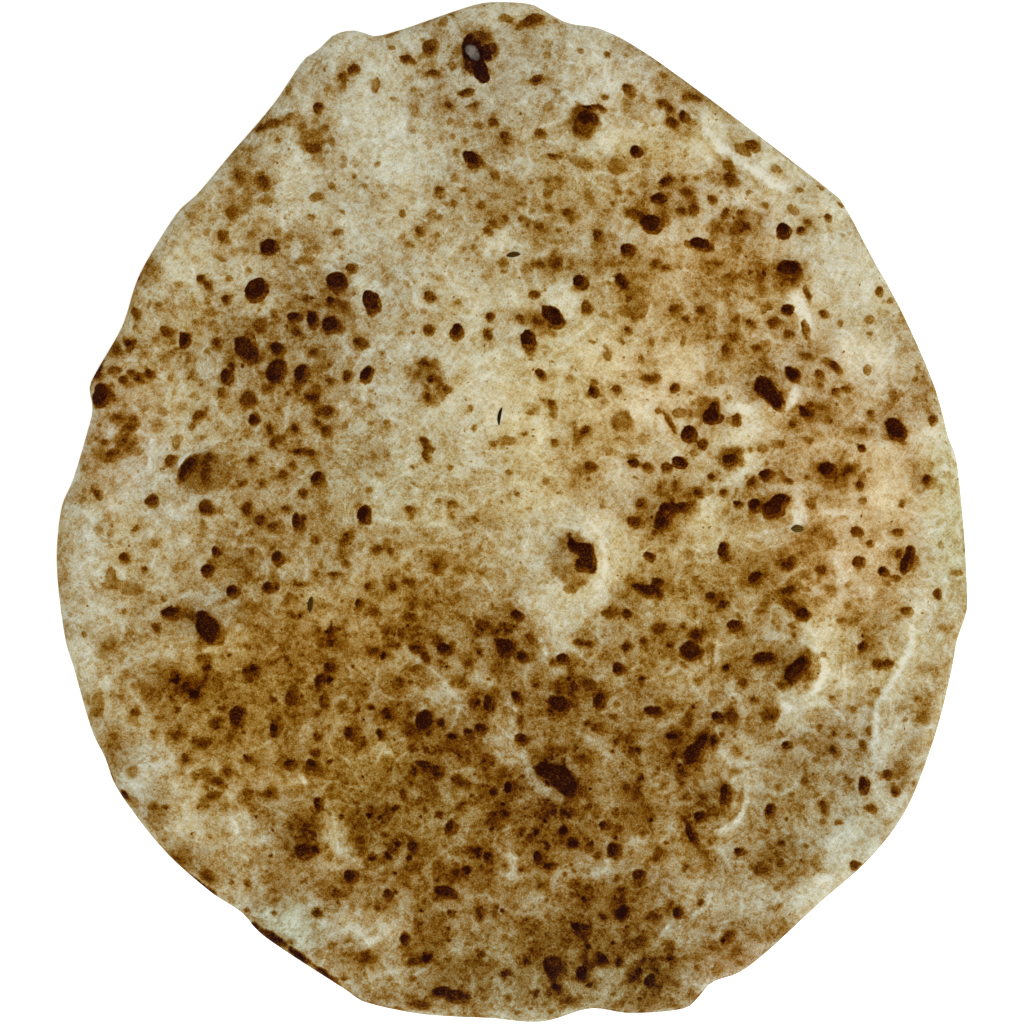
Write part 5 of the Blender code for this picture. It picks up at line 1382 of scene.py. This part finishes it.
def crust_material():
    """Floury dough from cream to black, with a fine relief."""
    crust = Recipe("crust")
    mottle, fleck, grain = (crust.lumps(*pattern) for pattern in (MOTTLE, FLECK, GRAIN))
    border = crust.times_plus(fleck, 0.45, crust.times(grain, 0.15))
    drawn = crust.shaken(*DRAWN)
    done, spots = crust_browning(crust, drawn, mottle, fleck, border)
    done = crust_marks(crust, done, mottle, fleck, border)
    done, crease = crust_creases(crust, done, fleck)
    done, strands = crust_texture(crust, done, drawn, grain)
    crust.put(crust_colour(crust, done, fleck, grain), crust.shader.inputs["Base Color"])
    crust.put(crust.step(done, 0.75, 1.0, 0.85, 0.55), crust.shader.inputs["Roughness"])
    crust.shader.inputs["Specular IOR Level"].default_value = CRUST_SHEEN
    height = crust.times_plus(fleck, 1.0, crust.times(grain, 0.8))
    for relief, share in ((spots, 1.3), (strands, 0.5), (crease, 0.5)):
        height = crust.times_plus(relief, share, height)
    crust.bump(height, 0.5, 0.5)
    return crust.material


def make_bread():
    mesh = flat_levels()
    place, under = shape_levels(mesh)
    keep_values(mesh, place, under)
    mesh.materials.append(crust_material())
    mesh.shade_smooth()
    bread = put_in_scene("bread", mesh)
    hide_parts("naan")
    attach(bread, "root")


# ---------------------------------------------------------------------------------------
# Cumin seeds: ribbed spindles that are blunt at one end and drawn out at the other
# ---------------------------------------------------------------------------------------
SEED_SIDES = 54
SEED_RINGS = 48
SEED_RIBS = 9
RIB_DEPTH = 0.1
SEED_SHOWING = 0.62  # the share of a seed's height that stands out of the bread
SEED_FLATNESS = 0.85
SEED_POINT = (0.72, 0.2)  # how pointed the ends are, and how much they differ
HUSKS = {  # colours of the furrows and ribs
    "dark_husk": ((18, 11, 2), (44, 31, 7)),
    "brown_husk": ((38, 21, 1), (84, 58, 6)),
    "olive_husk": ((52, 36, 3), (112, 86, 26)),
}
HUSK_ROUGHNESS = 0.7
HUSK_SHEEN = 0.03


def husk_material(name, furrow_colour, rib_colour):
    """Dry ribbed husk, darker in its furrows."""
    husk = Recipe(name)
    light = husk.times_plus(husk.lumps(0.5, 2.0, 0.7), 0.9, husk.value_of("rib"))
    colour = husk.mix(husk.clamped(light), linear(furrow_colour), linear(rib_colour))
    husk.put(colour, husk.shader.inputs["Base Color"])
    husk.shader.inputs["Roughness"].default_value = HUSK_ROUGHNESS
    husk.shader.inputs["Specular IOR Level"].default_value = HUSK_SHEEN
    husk.bump(husk.lumps(0.25), 0.05, 0.5)
    return husk.material


def spindle(bm, seed):
    """Gives the points of a round ball the seed's form, and returns how ribbed each is."""
    x, y, length, width, turn, bend = seed
    ball = np.array([vert.co for vert in bm.verts])
    along, round_it = ball[:, 2], np.arctan2(ball[:, 1], ball[:, 0])
    ribs = 0.5 + 0.5 * np.cos(SEED_RIBS * round_it)
    pointed, uneven = SEED_POINT
    fullness = np.clip(1 - along**2, 0, 1) ** (pointed - uneven * along)
    fullness = fullness * (1 - RIB_DEPTH + RIB_DEPTH * ribs)
    middle = bend * (1 - along**2)
    forward = along * length / 2
    sideways = np.cos(round_it) * fullness * width / 2 + middle
    up = np.sin(round_it) * fullness * width * SEED_FLATNESS / 2
    c, s = math.cos(math.radians(turn)), math.sin(math.radians(turn))
    ground = top_height(x + c * forward - s * middle, y + s * forward + c * middle)
    lift = (SEED_SHOWING - 0.5) * width * SEED_FLATNESS
    place_x, place_y = x + c * forward - s * sideways, y + s * forward + c * sideways
    places = np.column_stack((place_x, place_y, ground + lift + up))
    for vert, place in zip(bm.verts, places):
        vert.co = place * MM
    return ribs


def make_seed(name, seed, husk):
    bm = bmesh.new()
    bmesh.ops.create_uvsphere(bm, u_segments=SEED_SIDES, v_segments=SEED_RINGS, radius=1)
    ribs = spindle(bm, seed)
    bmesh.ops.recalc_face_normals(bm, faces=bm.faces[:])
    mesh = finished_mesh(bm, name)
    mesh.attributes.new("rib", "FLOAT", "POINT").data.foreach_set("value", ribs.astype(np.float32))
    mesh.materials.append(husk)
    mesh.shade_smooth()
    lump = put_in_scene(name, mesh)
    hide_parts("naan")
    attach(lump, "root")


def make_seeds():
    husks = {name: husk_material(name, *colours) for name, colours in HUSKS.items()}
    for name, (husk, *seed) in SEEDS.items():
        make_seed(name, seed, husks[husk])


# ---------------------------------------------------------------------------------------
# Floor, light and camera, in metres
# ---------------------------------------------------------------------------------------
WHITE = (1, 1, 1, 1)
FLOOR_HALF = 2.0
FLOOR_COLOUR = (0.93, 0.93, 0.93, 1)
FLOOR_ROUGHNESS = 0.9
FLOOR_GLOW = 0.5
SKY_STRENGTH = 0.70
KEY_PLACE = (1.06, -1.06, 2.6)
KEY_SIZE = 1.2
KEY_POWER = 54
LENS = 120.0
SENSOR = 36.0


def make_floor():
    """A white floor that glows a little, so that it shows as an even white ground."""
    bm = bmesh.new()
    bmesh.ops.create_grid(bm, x_segments=1, y_segments=1, size=FLOOR_HALF)
    mesh = finished_mesh(bm, "floor")
    floor = put_in_scene("floor", mesh)
    paint = Recipe("floor_paint")
    paint.shader.inputs["Base Color"].default_value = FLOOR_COLOUR
    paint.shader.inputs["Roughness"].default_value = FLOOR_ROUGHNESS
    paint.shader.inputs["Emission Color"].default_value = WHITE
    paint.shader.inputs["Emission Strength"].default_value = FLOOR_GLOW
    mesh.materials.append(paint.material)


def set_light():
    """An even white sky and one large lamp at the near right."""
    scene = bpy.context.scene
    scene.world = bpy.data.worlds.new("studio")
    scene.world.use_nodes = True
    sky = scene.world.node_tree.nodes["Background"]
    sky.inputs["Color"].default_value = WHITE
    sky.inputs["Strength"].default_value = SKY_STRENGTH
    light = bpy.data.lights.new("key", "AREA")
    light.shape, light.size, light.energy = "SQUARE", KEY_SIZE, KEY_POWER
    lamp = put_in_scene("key", light)
    lamp.location = KEY_PLACE
    lamp.rotation_euler = Vector(KEY_PLACE).to_track_quat("Z", "Y").to_euler()
    scene.view_settings.view_transform = "Standard"


def set_camera():
    """A camera straight above, from where the picture just covers its width at the rim."""
    camera = bpy.data.cameras.new("camera")
    camera.lens, camera.sensor_width = LENS, SENSOR
    viewer = put_in_scene("camera", camera)
    height = PICTURE * PIXEL * LENS / SENSOR + RIM_WAIST
    viewer.location = (0, 0, height * MM)
    bpy.context.scene.camera = viewer


make_bread()
make_seeds()
make_floor()
set_light()
set_camera()
